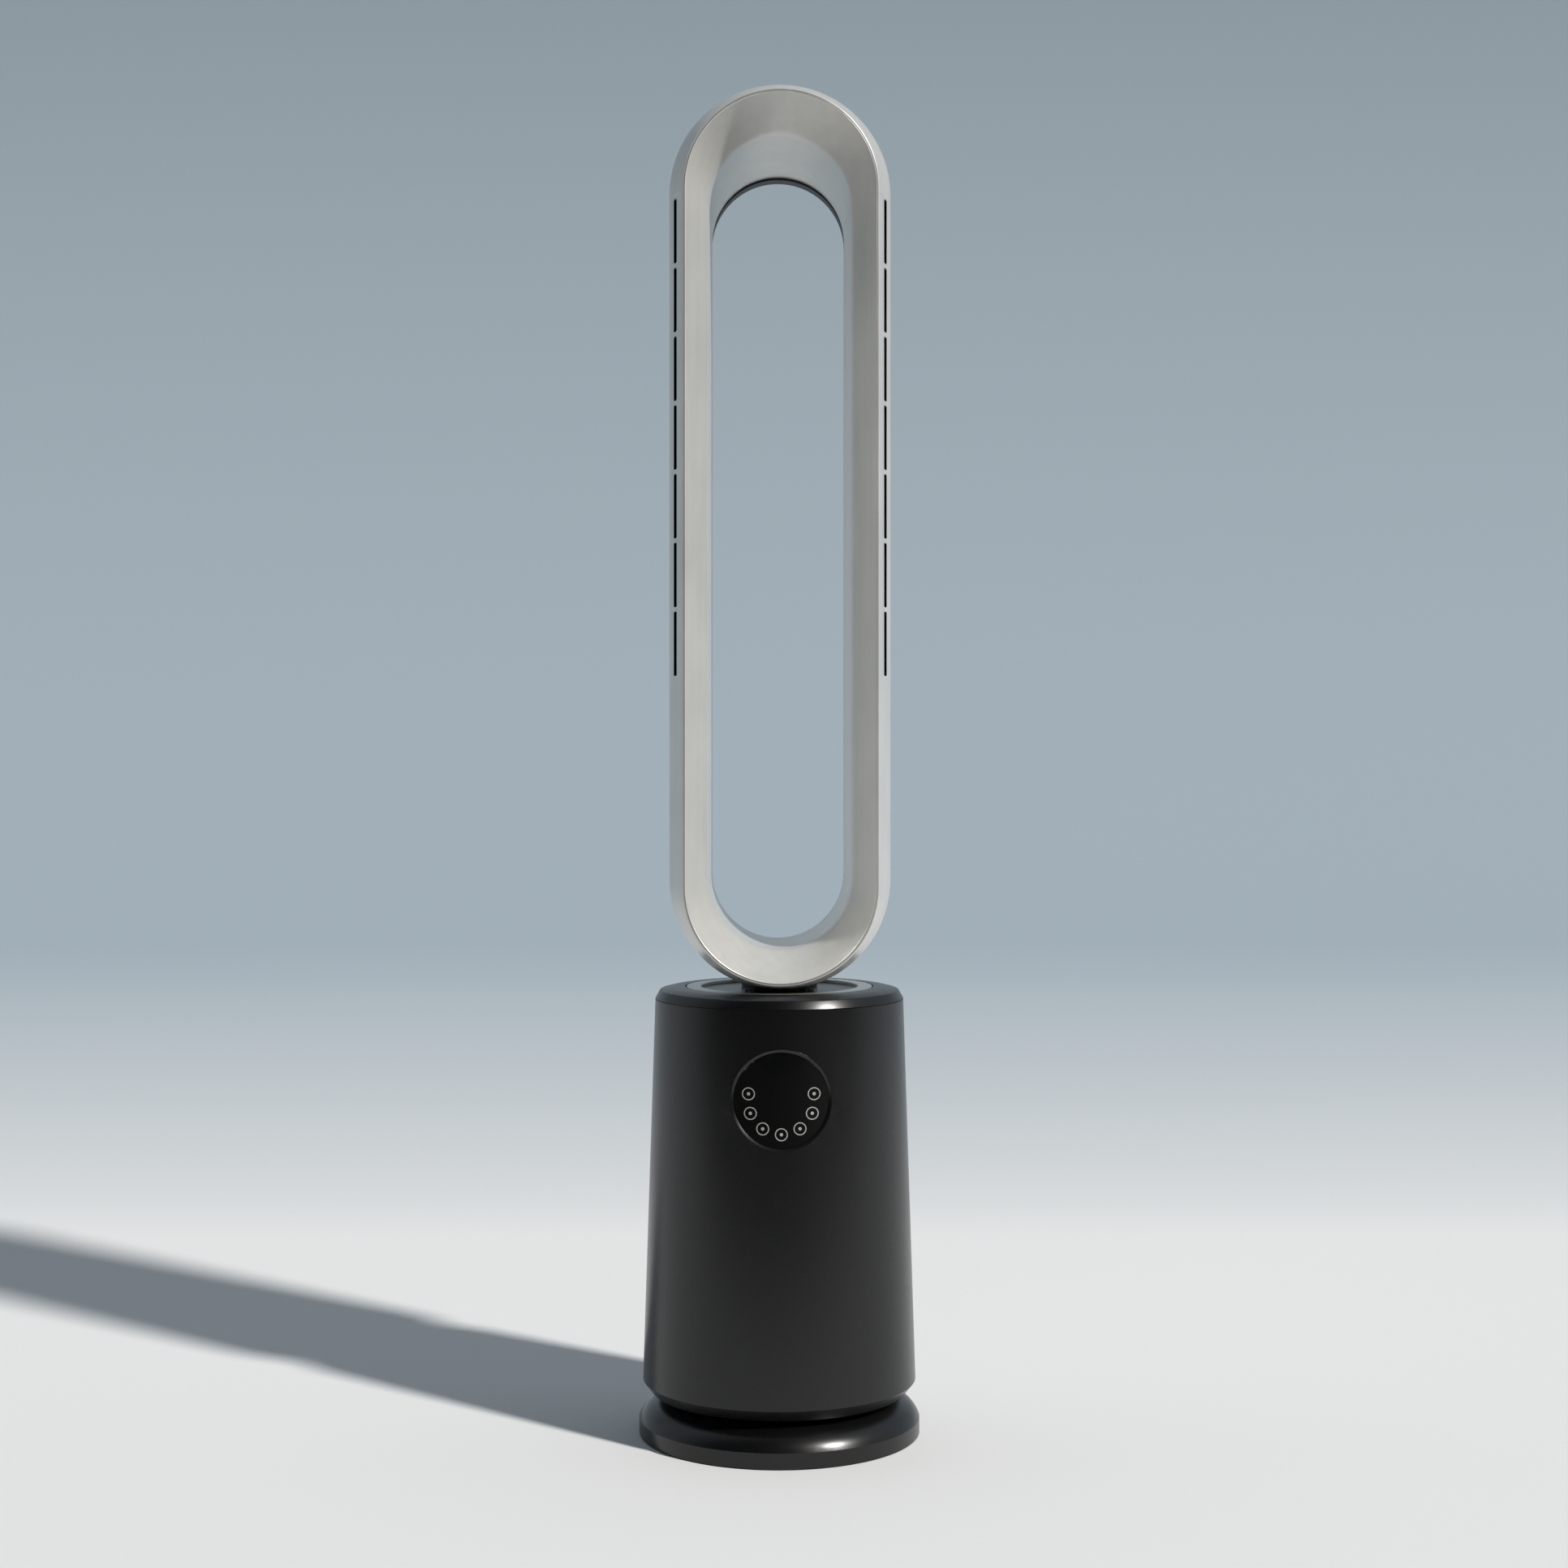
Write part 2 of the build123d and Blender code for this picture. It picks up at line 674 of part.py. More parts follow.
with BuildPart() as top_deck:
    with BuildSketch(Plane.XZ):
        spigot = tower_high_radius - tower_wall - seat_gap
        ledge = trim_inner_radius + dish_rim + seat_gap
        with BuildLine():
            dome = ThreePointArc((deck_edge_radius, deck_edge_z), deck_dome, (trim_outer_radius + trim_gap, deck_top_z))
            Polyline(
                dome @ 1,
                (trim_outer_radius + trim_gap, trim_low_z),
                (ledge, trim_low_z),
                (ledge, trim_low_z - deck_wall),
                (deck_edge_radius - deck_wall, deck_edge_z - 1.2 * deck_wall),
                (spigot - deck_wall, tower_high_z),
                (spigot - deck_wall, tower_high_z - deck_spigot),
                (spigot, tower_high_z - deck_spigot),
                (spigot, tower_high_z),
                (tower_high_radius, tower_high_z),
                dome @ 0,
            )
        make_face()
    revolve(axis=Axis.Z)
top_deck.part.label = "top_deck"
export_step(top_deck.part, "parts/top_deck.step")

with BuildPart() as trim_ring:
    extrude(flat_ring(trim_low_z, trim_outer_radius, trim_inner_radius), amount=trim_thickness)
    chamfer(trim_ring.edges().group_by(Axis.Z)[-1], 0.35)
trim_ring.part.label = "trim_ring"
export_step(trim_ring.part, "parts/trim_ring.step")

with BuildPart() as deck_dish:
    with BuildSketch(Plane.XZ):
        outline(
            (neck_radius + seat_gap, dish_z - deck_wall),
            (trim_inner_radius + dish_rim, dish_z - deck_wall),
            (trim_inner_radius + dish_rim, trim_low_z),
            (trim_inner_radius - seat_gap, trim_low_z),
            (trim_inner_radius - seat_gap, dish_z),
            (neck_radius + seat_gap, dish_z),
        )
    revolve(axis=Axis.Z)
    with BuildSketch(Plane.XY.offset(dish_z - deck_wall)):
        with PolarLocations((neck_radius + neck_flange_radius) / 2, 4, start_angle=45):
            Circle(screw_radius + screw_gap)
    extrude(amount=deck_wall, mode=Mode.SUBTRACT)
deck_dish.part.label = "deck_dish"
export_step(deck_dish.part, "parts/deck_dish.step")

with BuildPart() as neck_collar:
    extrude(flat_ring(neck_foot_z, neck_radius, neck_bore), amount=neck_top_z - neck_foot_z)
    extrude(flat_ring(dish_z - deck_wall, neck_flange_radius, neck_bore), amount=-neck_flange_thickness)
    with BuildSketch(Plane.XY.offset(saddle_top_z + moving_gap)):
        with PolarLocations(neck_radius, neck_lug_count):
            Rectangle(2 * neck_lug_reach, neck_lug_width)
        Circle(neck_bore + 0.5, mode=Mode.SUBTRACT)
    extrude(amount=neck_top_z - saddle_top_z - moving_gap)
    with BuildSketch(Plane.XY.offset(dish_z - deck_wall)):
        with PolarLocations((neck_radius + neck_flange_radius) / 2, 4, start_angle=45):
            Circle(screw_radius + screw_gap)
    extrude(amount=-neck_flange_thickness, mode=Mode.SUBTRACT)
neck_collar.part.label = "neck_collar"
export_step(neck_collar.part, "parts/neck_collar.step")

with BuildPart() as neck_screws:
    with PolarLocations((neck_radius + neck_flange_radius) / 2, 4, start_angle=45):
        screw(dish_z, length=deck_wall + neck_flange_thickness + 1)
neck_screws.part.label = "neck_screws"
export_step(neck_screws.part, "parts/neck_screws.step")

# ================================================================ air loop, which rides on the tower
with BuildPart() as loop_front_shell:
    loft([lip_track(lip_land), throat_front_track(loop_wall)], ruled=True)
    loft([throat_front_track(loop_wall), throat_rear_track(loop_wall)], ruled=True)
    loft([lip_track(0), throat_front_track(0)], ruled=True, mode=Mode.SUBTRACT)
    loft([throat_front_track(0), throat_rear_track(0)], ruled=True, mode=Mode.SUBTRACT)
loop_front_shell.part.label = "loop_front_shell"
export_step(loop_front_shell.part, "parts/loop_front_shell.step")

skin_outside = skin_body(0)
skin_inside = skin_body(loop_wall)
with BuildPart() as loop_outer_shell:
    add(skin_outside)
    add(skin_inside, mode=Mode.SUBTRACT)
    with BuildSketch(Plane.XY.offset(dish_z)):
        Circle(neck_radius + seat_gap)
    extrude(amount=saddle_top_z - dish_z, mode=Mode.SUBTRACT)
    with BuildSketch(Plane.XZ.offset(-loop_front + 1)):
        with Locations((0, slot_middle_z)):
            with GridLocations(2 * slot_x, slot_pitch, 2, slot_count):
                SlotOverall(slot_length, slot_width, rotation=90)
    extrude(amount=-shoulder_back - 4, mode=Mode.SUBTRACT)
loop_outer_shell.part.label = "loop_outer_shell"
export_step(loop_outer_shell.part, "parts/loop_outer_shell.step")

with BuildPart() as loop_rear_trim:
    cap_radius = rear_radius - loop_wall - seat_gap
    cap = racetrack(loop_rear - loop_wall, cap_radius, loop_half_straight, loop_middle_z)
    extrude(cap, amount=-loop_wall)
    extrude(throat_rear_track(loop_wall), amount=-(loop_rear - throat_rear_y))
    opening = racetrack(throat_rear_y, rear_trim_radius, rear_trim_straight, loop_middle_z - rear_trim_drop)
    extrude(opening, amount=-(loop_rear - throat_rear_y), mode=Mode.SUBTRACT)
loop_rear_trim.part.label = "loop_rear_trim"
export_step(loop_rear_trim.part, "parts/loop_rear_trim.step")

nozzle_length = (slot_count - 1) * slot_pitch + slot_length + 4
with BuildPart() as nozzle_strips:
    with BuildSketch(Plane.XY.offset(slot_middle_z - nozzle_length / 2)):
        plate_inner, plate_outer = slot_x - 3.0, slot_x + slot_width / 2
        outline(
            (plate_outer, nozzle_y),
            (plate_inner, nozzle_y),
            (plate_inner, nozzle_y + nozzle_depth),
            (plate_inner + nozzle_plate, nozzle_y + nozzle_depth),
            (plate_inner + nozzle_plate, nozzle_y + nozzle_plate),
            (plate_outer, nozzle_y + nozzle_plate),
        )
        mirror(about=Plane.YZ)
    extrude(amount=nozzle_length)
nozzle_strips.part.label = "nozzle_strips"
export_step(nozzle_strips.part, "parts/nozzle_strips.step")

with BuildPart() as loop_saddle:
    extrude(flat_ring(dish_z, saddle_radius, neck_radius + seat_gap), amount=saddle_top_z - dish_z)
    add(skin_inside, mode=Mode.INTERSECT)
loop_saddle.part.label = "loop_saddle"
export_step(loop_saddle.part, "parts/loop_saddle.step")

with BuildPart() as flow_splitter:
    with BuildSketch(Plane.XZ.offset(neck_bore)):
        throat_low_z = loop_middle_z - throat_front_drop - throat_front_straight - throat_front_radius
        splitter_top = throat_low_z - loop_wall - seat_gap
        outline((-16, splitter_top), (16, splitter_top), (2, neck_top_z + 2), (-2, neck_top_z + 2))
    extrude(amount=-2 * neck_bore)
flow_splitter.part.label = "flow_splitter"
export_step(flow_splitter.part, "parts/flow_splitter.step")

# ================================================================ control panel
with BuildPart() as panel_bezel:
    with BuildSketch(Plane.XZ):
        outline(*tower_layer(panel_z - bezel_radius - 2, panel_z + bezel_radius + 2, bezel_proud, bezel_inset))
    revolve(axis=Axis.Z)
    with BuildSketch(Plane.XZ.offset(bezel_back)):
        with Locations((0, panel_z)):
            Circle(bezel_radius)
    extrude(amount=tower_low_radius, mode=Mode.INTERSECT)
    with BuildSketch(Plane.XZ.offset(bezel_back + bezel_ledge)):
        with Locations((0, panel_z)):
            Circle(bezel_radius - bezel_width)
    extrude(amount=tower_low_radius, mode=Mode.SUBTRACT)
    with BuildSketch(Plane.XZ.offset(bezel_back - 1)):
        with Locations((0, panel_z)):
            Circle(bezel_radius - bezel_width - bezel_ledge_width)
    extrude(amount=tower_low_radius, mode=Mode.SUBTRACT)
panel_bezel.part.label = "panel_bezel"
export_step(panel_bezel.part, "parts/panel_bezel.step")

lens_radius = bezel_radius - bezel_width - seat_gap
board_front_y = -bezel_back - bezel_ledge - board_thickness
switch_front_y = board_front_y - switch_height
lens_back = tower_radius(panel_z + key_circle) - lens_sink - lens_thickness
key_flange_y = -sqrt(lens_back**2 - (key_circle + key_flange_radius) ** 2)
key_stem_length = switch_front_y - key_travel - key_switch_gap - key_flange_y - key_flange_thickness
key_places = []
for index in range(key_count):
    turn = radians(270 + (index - (key_count - 1) / 2) * key_pitch)
    key_places.append((key_circle * cos(turn), panel_z + key_circle * sin(turn)))

with BuildPart() as panel_lens:
    with BuildSketch(Plane.XZ):
        outline(*tower_layer(panel_z - bezel_radius, panel_z + bezel_radius, -lens_sink, lens_sink + lens_thickness))
    revolve(axis=Axis.Z)
    with BuildSketch(Plane.XZ):
        with Locations((0, panel_z)):
            Circle(lens_radius)
    extrude(amount=tower_low_radius, mode=Mode.INTERSECT)
    with BuildSketch(Plane.XZ):
        with Locations(*key_places):
            Circle(key_radius + moving_gap)
    extrude(amount=tower_low_radius, mode=Mode.SUBTRACT)
panel_lens.part.label = "panel_lens"
export_step(panel_lens.part, "parts/panel_lens.step")

with BuildPart() as control_board:
    with BuildSketch(Plane.XZ.offset(bezel_back + bezel_ledge)):
        with Locations((0, panel_z)):
            Circle(lens_radius)
    extrude(amount=board_thickness)
control_board.part.label = "control_board"
export_step(control_board.part, "parts/control_board.step")

with BuildPart() as key_switches:
    with BuildSketch(Plane.XZ.offset(-board_front_y)):
        with Locations(*key_places):
            Rectangle(switch_side, switch_side)
    extrude(amount=switch_height)
key_switches.part.label = "key_switches"
export_step(key_switches.part, "parts/key_switches.step")

for index, place in enumerate(key_places):
    with BuildPart() as key:
        with BuildSketch(Plane.XZ):
            outline(*tower_layer(panel_z - bezel_radius, panel_z + bezel_radius, key_proud - lens_sink, bezel_inset))
        revolve(axis=Axis.Z)
        with BuildSketch(Plane.XZ.offset(-key_flange_y)):
            with Locations(place):
                Circle(key_radius)
        extrude(amount=tower_low_radius + key_flange_y, mode=Mode.INTERSECT)
        with BuildSketch(Plane.XZ.offset(-key_flange_y)):
            with Locations(place):
                Circle(key_flange_radius)
        extrude(amount=-key_flange_thickness)
        with BuildSketch(Plane.XZ.offset(-key_flange_y - key_flange_thickness)):
            with Locations(place):
                Circle(key_stem_radius)
        extrude(amount=-key_stem_length)
    key.part.label = f"key_{index + 1}"
    export_step(key.part, f"parts/key_{index + 1}.step")

# ================================================================ swivel drive in the tower
with BuildPart() as motor_bracket:
    with BuildSketch(Plane.XY.offset(bracket_z)):
        leg_low, leg_high = bracket_leg_y
        with Locations((0, (leg_low + leg_high) / 2)):
            span_x, span_y = 2 * bracket_leg_x + 8, leg_high - leg_low + 8
            RectangleRounded(span_x, span_y, bracket_leg_radius)
        with Locations((0, pinion_y)):
            Circle(9, mode=Mode.SUBTRACT)
    extrude(amount=bracket_thickness)
    with BuildSketch(Plane.XY.offset(chassis_top_z)):
        with Locations(*bracket_legs):
            Circle(bracket_leg_radius)
    extrude(amount=bracket_z - chassis_top_z)
    with BuildSketch(Plane.XY.offset(chassis_top_z)):
        with Locations(*bracket_legs):
            Circle(screw_radius + screw_gap)
    extrude(amount=bracket_z + bracket_thickness - chassis_top_z, mode=Mode.SUBTRACT)
motor_bracket.part.label = "motor_bracket"
export_step(motor_bracket.part, "parts/motor_bracket.step")

with BuildPart() as bracket_screws:
    with Locations(*bracket_legs):
        screw(bracket_z + bracket_thickness, length=bracket_z + bracket_thickness - chassis_z - 1.5)
bracket_screws.part.label = "bracket_screws"
export_step(bracket_screws.part, "parts/bracket_screws.step")

with BuildPart() as swivel_motor:
    with BuildSketch(Plane.XY.offset(swivel_motor_z)):
        with Locations((0, pinion_y)):
            Circle(swivel_motor_radius)
    extrude(amount=swivel_motor_height)
    fillet(swivel_motor.edges().group_by(Axis.Z)[-1], 1.5)
    with BuildSketch(Plane.XY.offset(swivel_motor_z)):
        with Locations((0, pinion_y)):
            Circle(pinion_shaft_radius + running_gap)
    extrude(amount=swivel_motor_height - 4, mode=Mode.SUBTRACT)
swivel_motor.part.label = "swivel_motor"
export_step(swivel_motor.part, "parts/swivel_motor.step")

with BuildPart() as drive_pinion:
    with BuildSketch(Plane(origin=(0, pinion_y, gear_z))):
        spur_gear(pinion_teeth, 270 + 180 / pinion_teeth)
        Circle(pinion_shaft_radius + screw_gap, mode=Mode.SUBTRACT)
    extrude(amount=gear_thickness)
drive_pinion.part.label = "drive_pinion"
export_step(drive_pinion.part, "parts/drive_pinion.step")

with BuildPart() as pinion_shaft:
    with BuildSketch(Plane.XY.offset(gear_z - 0.5)):
        with Locations((0, pinion_y)):
            Circle(pinion_shaft_radius)
    extrude(amount=swivel_motor_z + swivel_motor_height - 4.5 - gear_z)
pinion_shaft.part.label = "pinion_shaft"
export_step(pinion_shaft.part, "parts/pinion_shaft.step")

with BuildPart() as power_board:
    board_z = chassis_top_z + board_leg_height
    with BuildSketch(Plane.XY.offset(board_z)):
        with Locations((0, power_board_y)):
            Rectangle(*power_board_size)
        with Locations(*board_legs):
            Circle(screw_radius + screw_gap, mode=Mode.SUBTRACT)
    extrude(amount=board_thickness)
    with BuildSketch(Plane.XY.offset(board_z + board_thickness)):
        with Locations((-12, power_board_y - 4)):
            Rectangle(22, 18)
        with Locations((12, power_board_y + 6), (12, power_board_y - 8)):
            Circle(5)
    extrude(amount=16)
power_board.part.label = "power_board"
export_step(power_board.part, "parts/power_board.step")

with BuildPart() as board_screws:
    with Locations(*board_legs):
        screw(board_z + board_thickness, length=board_leg_height)
board_screws.part.label = "board_screws"
export_step(board_screws.part, "parts/board_screws.step")

# ================================================================ blower
with BuildPart() as blower_duct:
    with BuildSketch(Plane.XZ):
        neck_bottom = neck_foot_z - 1.5
        cone_end = neck_bottom - 6
        outline(
            (duct_radius, duct_low_z),
            (duct_radius + duct_wall, duct_low_z),
            (duct_radius + duct_wall, duct_cone_z),
            (neck_radius, cone_end),
            (neck_radius, neck_bottom),
            (neck_bore, neck_bottom),
            (neck_bore, cone_end),
            (duct_radius, duct_cone_z),
        )
    revolve(axis=Axis.Z)
    with BuildSketch(Plane.XY.offset(duct_ear_z)):
        with PolarLocations(duct_ear_circle, column_count, start_angle=30):
            Circle(duct_ear_radius)
        with PolarLocations((duct_ear_circle + duct_radius) / 2, column_count, start_angle=30):
            Rectangle(duct_ear_circle - duct_radius, 2 * duct_ear_radius)
        Circle(duct_radius + duct_wall / 2, mode=Mode.SUBTRACT)
        with PolarLocations(duct_ear_circle, column_count, start_angle=30):
            Circle(screw_radius + screw_gap, mode=Mode.SUBTRACT)
    extrude(amount=duct_ear_thickness)
blower_duct.part.label = "blower_duct"
export_step(blower_duct.part, "parts/blower_duct.step")

with BuildPart() as inlet_bell:
    with BuildSketch(Plane.XZ):
        bell_outer = duct_radius + duct_wall
        throat = duct_radius - bell_throat_inset
        with BuildLine():
            mouth = ThreePointArc(
                (throat, duct_low_z),
                (throat + 0.3 * bell_flare, duct_low_z - 0.7 * bell_height),
                (throat + bell_flare, duct_low_z - bell_height),
            )
            Polyline(
                mouth @ 1,
                (bell_outer + bell_flare / 2, duct_low_z - bell_height),
                (bell_outer, duct_low_z - 2),
                (bell_outer, duct_low_z),
                mouth @ 0,
            )
        make_face()
    revolve(axis=Axis.Z)
inlet_bell.part.label = "inlet_bell"
export_step(inlet_bell.part, "parts/inlet_bell.step")

with BuildPart() as blower_mounts:
    with BuildSketch(Plane.XY.offset(column_top_z)):
        with PolarLocations(duct_ear_circle, column_count, start_angle=30):
            Circle(column_radius + 1)
            Circle(screw_radius + seat_gap, mode=Mode.SUBTRACT)
    extrude(amount=grommet_height)
blower_mounts.part.label = "blower_mounts"
export_step(blower_mounts.part, "parts/blower_mounts.step")

with BuildPart() as blower_screws:
    with PolarLocations(duct_ear_circle, column_count, start_angle=30):
        screw(duct_ear_z + duct_ear_thickness, length=duct_ear_thickness + grommet_height + 8)
blower_screws.part.label = "blower_screws"
export_step(blower_screws.part, "parts/blower_screws.step")

with BuildPart() as riser_seal:
    extrude(flat_ring(neck_foot_z - 1.5, neck_radius, neck_bore), amount=1.5)
riser_seal.part.label = "riser_seal"
export_step(riser_seal.part, "parts/riser_seal.step")

motor_top_z = motor_low_z + motor_height
with BuildPart() as fan_motor:
    with BuildSketch(Plane.XZ):
        outline(
            (bearing_radius + seat_gap, motor_low_z),
            (motor_radius, motor_low_z),
            (motor_radius, motor_top_z),
            (bearing_radius + seat_gap, motor_top_z),
            (bearing_radius + seat_gap, motor_top_z - bearing_width),
            (rotor_radius + 0.6, motor_top_z - bearing_width),
            (rotor_radius + 0.6, motor_low_z + bearing_width),
            (bearing_radius + seat_gap, motor_low_z + bearing_width),
        )
    revolve(axis=Axis.Z)
fan_motor.part.label = "fan_motor"
export_step(fan_motor.part, "parts/fan_motor.step")

with BuildPart() as motor_bearings:
    for low_z in (motor_low_z, motor_top_z - bearing_width):
        extrude(flat_ring(low_z, bearing_radius, shaft_radius + running_gap), amount=bearing_width)
motor_bearings.part.label = "motor_bearings"
export_step(motor_bearings.part, "parts/motor_bearings.step")

sleeve_radius = motor_radius + seat_gap + sleeve_wall
with BuildPart() as motor_sleeve:
    extrude(flat_ring(motor_low_z, sleeve_radius, motor_radius + seat_gap), amount=motor_height)
motor_sleeve.part.label = "motor_sleeve"
export_step(motor_sleeve.part, "parts/motor_sleeve.step")

with BuildPart() as diffuser:
    hub_inner = sleeve_radius + seat_gap
    hub_outer = hub_inner + diffuser_wall
    with BuildSketch(Plane.XZ):
        tail_z = motor_top_z + 24
        with BuildLine():
            tail = Bezier((hub_outer, motor_top_z), (hub_outer, motor_top_z + 14), (12, tail_z), (0, tail_z))
            Polyline(
                tail @ 0,
                (hub_outer, motor_low_z),
                (hub_inner, motor_low_z),
                (hub_inner, motor_top_z + 1),
                (0, motor_top_z + 1),
                tail @ 1,
            )
        make_face()
    revolve(axis=Axis.Z)
    for index in range(vane_count):
        with BuildSketch(radial_plane(index * 360 / vane_count + 8)):
            outline(
                (hub_outer - 1, motor_low_z),
                (duct_radius - seat_gap, motor_low_z),
                (duct_radius - seat_gap, motor_top_z - 6),
                (hub_outer - 1, motor_top_z),
            )
        extrude(amount=vane_thickness / 2, both=True)
diffuser.part.label = "diffuser"
export_step(diffuser.part, "parts/diffuser.step")

impeller_top_z = impeller_low_z + impeller_height
with BuildPart() as impeller:
    for index in range(blade_count):
        turn = radians(index * 360 / blade_count)
        facing = Plane(origin=(0, 0, 0), x_dir=(-sin(turn), cos(turn), 0), z_dir=(cos(turn), sin(turn), 0))
        lean = (impeller_height + 4) / 2 * tan(radians(blade_lean))
        half = blade_thickness / 2 / cos(radians(blade_lean))
        with BuildSketch(facing.offset(impeller_hub_radius - 6)):
            outline(
                (-lean - half, impeller_low_z - 2),
                (-lean + half, impeller_low_z - 2),
                (lean + half, impeller_top_z + 2),
                (lean - half, impeller_top_z + 2),
            )
        extrude(amount=impeller_radius)
    with BuildSketch(Plane.XY.offset(impeller_low_z)):
        Circle(impeller_radius)
    extrude(amount=impeller_height, mode=Mode.INTERSECT)
    with BuildSketch(Plane.XZ):
        with BuildLine():
            nose = Bezier(
                (shaft_radius + 3, impeller_low_z),
                (impeller_hub_radius - 4, impeller_low_z),
                (impeller_hub_radius, impeller_low_z + 10),
                (impeller_hub_radius, impeller_top_z),
            )
            Polyline(nose @ 1, (0, impeller_top_z), (0, impeller_low_z), nose @ 0)
        make_face()
    revolve(axis=Axis.Z)
    with BuildSketch(Plane.XY.offset(impeller_low_z)):
        Circle(shaft_radius + screw_gap)
    extrude(amount=impeller_height, mode=Mode.SUBTRACT)
impeller.part.label = "impeller"
export_step(impeller.part, "parts/impeller.step")

with BuildPart() as impeller_nut:
    with BuildSketch(Plane.XY.offset(impeller_low_z)):
        RegularPolygon(5.5, 6)
        Circle(shaft_radius + screw_gap, mode=Mode.SUBTRACT)
    extrude(amount=-4)
impeller_nut.part.label = "impeller_nut"
export_step(impeller_nut.part, "parts/impeller_nut.step")

with BuildPart() as fan_shaft:
    with BuildSketch(Plane.XY.offset(impeller_low_z - 6)):
        Circle(shaft_radius)
    extrude(amount=motor_top_z - impeller_low_z + 6)
fan_shaft.part.label = "fan_shaft"
export_step(fan_shaft.part, "parts/fan_shaft.step")

with BuildPart() as motor_rotor:
    extrude(flat_ring(motor_low_z + bearing_width + 1, rotor_radius, shaft_radius + screw_gap), amount=motor_height - 2 * bearing_width - 2)
motor_rotor.part.label = "motor_rotor"
export_step(motor_rotor.part, "parts/motor_rotor.step")
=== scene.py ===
"""Bladeless tower fan: the finishes, the fine pieces and the stage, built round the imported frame."""

from math import cos, pi, radians, sin, sqrt

import bmesh
import bpy
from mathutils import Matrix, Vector


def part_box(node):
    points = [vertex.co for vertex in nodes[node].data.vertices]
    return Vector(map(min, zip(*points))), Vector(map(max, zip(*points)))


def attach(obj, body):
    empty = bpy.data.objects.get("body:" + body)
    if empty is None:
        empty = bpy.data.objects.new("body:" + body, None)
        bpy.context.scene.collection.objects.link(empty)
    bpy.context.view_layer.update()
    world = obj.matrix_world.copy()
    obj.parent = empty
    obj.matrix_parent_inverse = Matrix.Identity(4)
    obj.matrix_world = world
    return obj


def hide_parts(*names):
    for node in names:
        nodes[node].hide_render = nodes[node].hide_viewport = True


bl_info = {
    "name": "Bladeless Tower Fan",
    "version": (1, 0, 0),
    "blender": (4, 5, 0),
    "location": "View3D > Sidebar > Tower Fan",
    "description": "Builds the finishes, fine pieces and stage of a bladeless tower fan",
    "category": "Object",
}

MM = 0.001
SEAT_GAP = 0.15  # between fixed pieces that seat in one another, in millimetres

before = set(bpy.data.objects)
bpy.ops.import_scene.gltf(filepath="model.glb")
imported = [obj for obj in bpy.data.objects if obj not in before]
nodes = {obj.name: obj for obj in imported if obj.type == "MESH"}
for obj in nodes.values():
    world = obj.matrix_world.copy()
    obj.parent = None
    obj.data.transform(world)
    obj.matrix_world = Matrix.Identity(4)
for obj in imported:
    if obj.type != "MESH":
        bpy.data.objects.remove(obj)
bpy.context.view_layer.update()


def box_mm(node):
    """Lowest and highest corner of a frame node, in millimetres."""
    low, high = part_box(node)
    return [round(c / MM, 2) for c in low], [round(c / MM, 2) for c in high]


SKIN_LOW, SKIN_HIGH = box_mm("loop_outer_shell")
INNER_LOW, INNER_HIGH = box_mm("loop_front_shell")
BEZEL_LOW, BEZEL_HIGH = box_mm("panel_bezel")
SHELL_LOW, SHELL_HIGH = box_mm("tower_shell")
DECK_LOW, DECK_HIGH = box_mm("top_deck")
KEYS = sorted(name for name in nodes if name.startswith("key_") and name[4:].isdigit())


# ---------------------------------------------------------------- shader maths
class Wire:
    """A shader value; arithmetic on it adds Math nodes."""

    def __init__(self, finish, socket):
        self.finish = finish
        self.socket = socket

    def maths(self, operation, first, second=0.0):
        """One Math node fed by two values."""
        return self.finish.node("ShaderNodeMath", {"operation": operation}, {0: first, 1: second})

    def __add__(self, other):
        return self.maths("ADD", self, other)

    def __radd__(self, other):
        return self.maths("ADD", other, self)

    def __sub__(self, other):
        return self.maths("SUBTRACT", self, other)

    def __rsub__(self, other):
        return self.maths("SUBTRACT", other, self)

    def __mul__(self, other):
        return self.maths("MULTIPLY", self, other)

    def __rmul__(self, other):
        return self.maths("MULTIPLY", other, self)

    def __pow__(self, other):
        return self.maths("POWER", self, other)


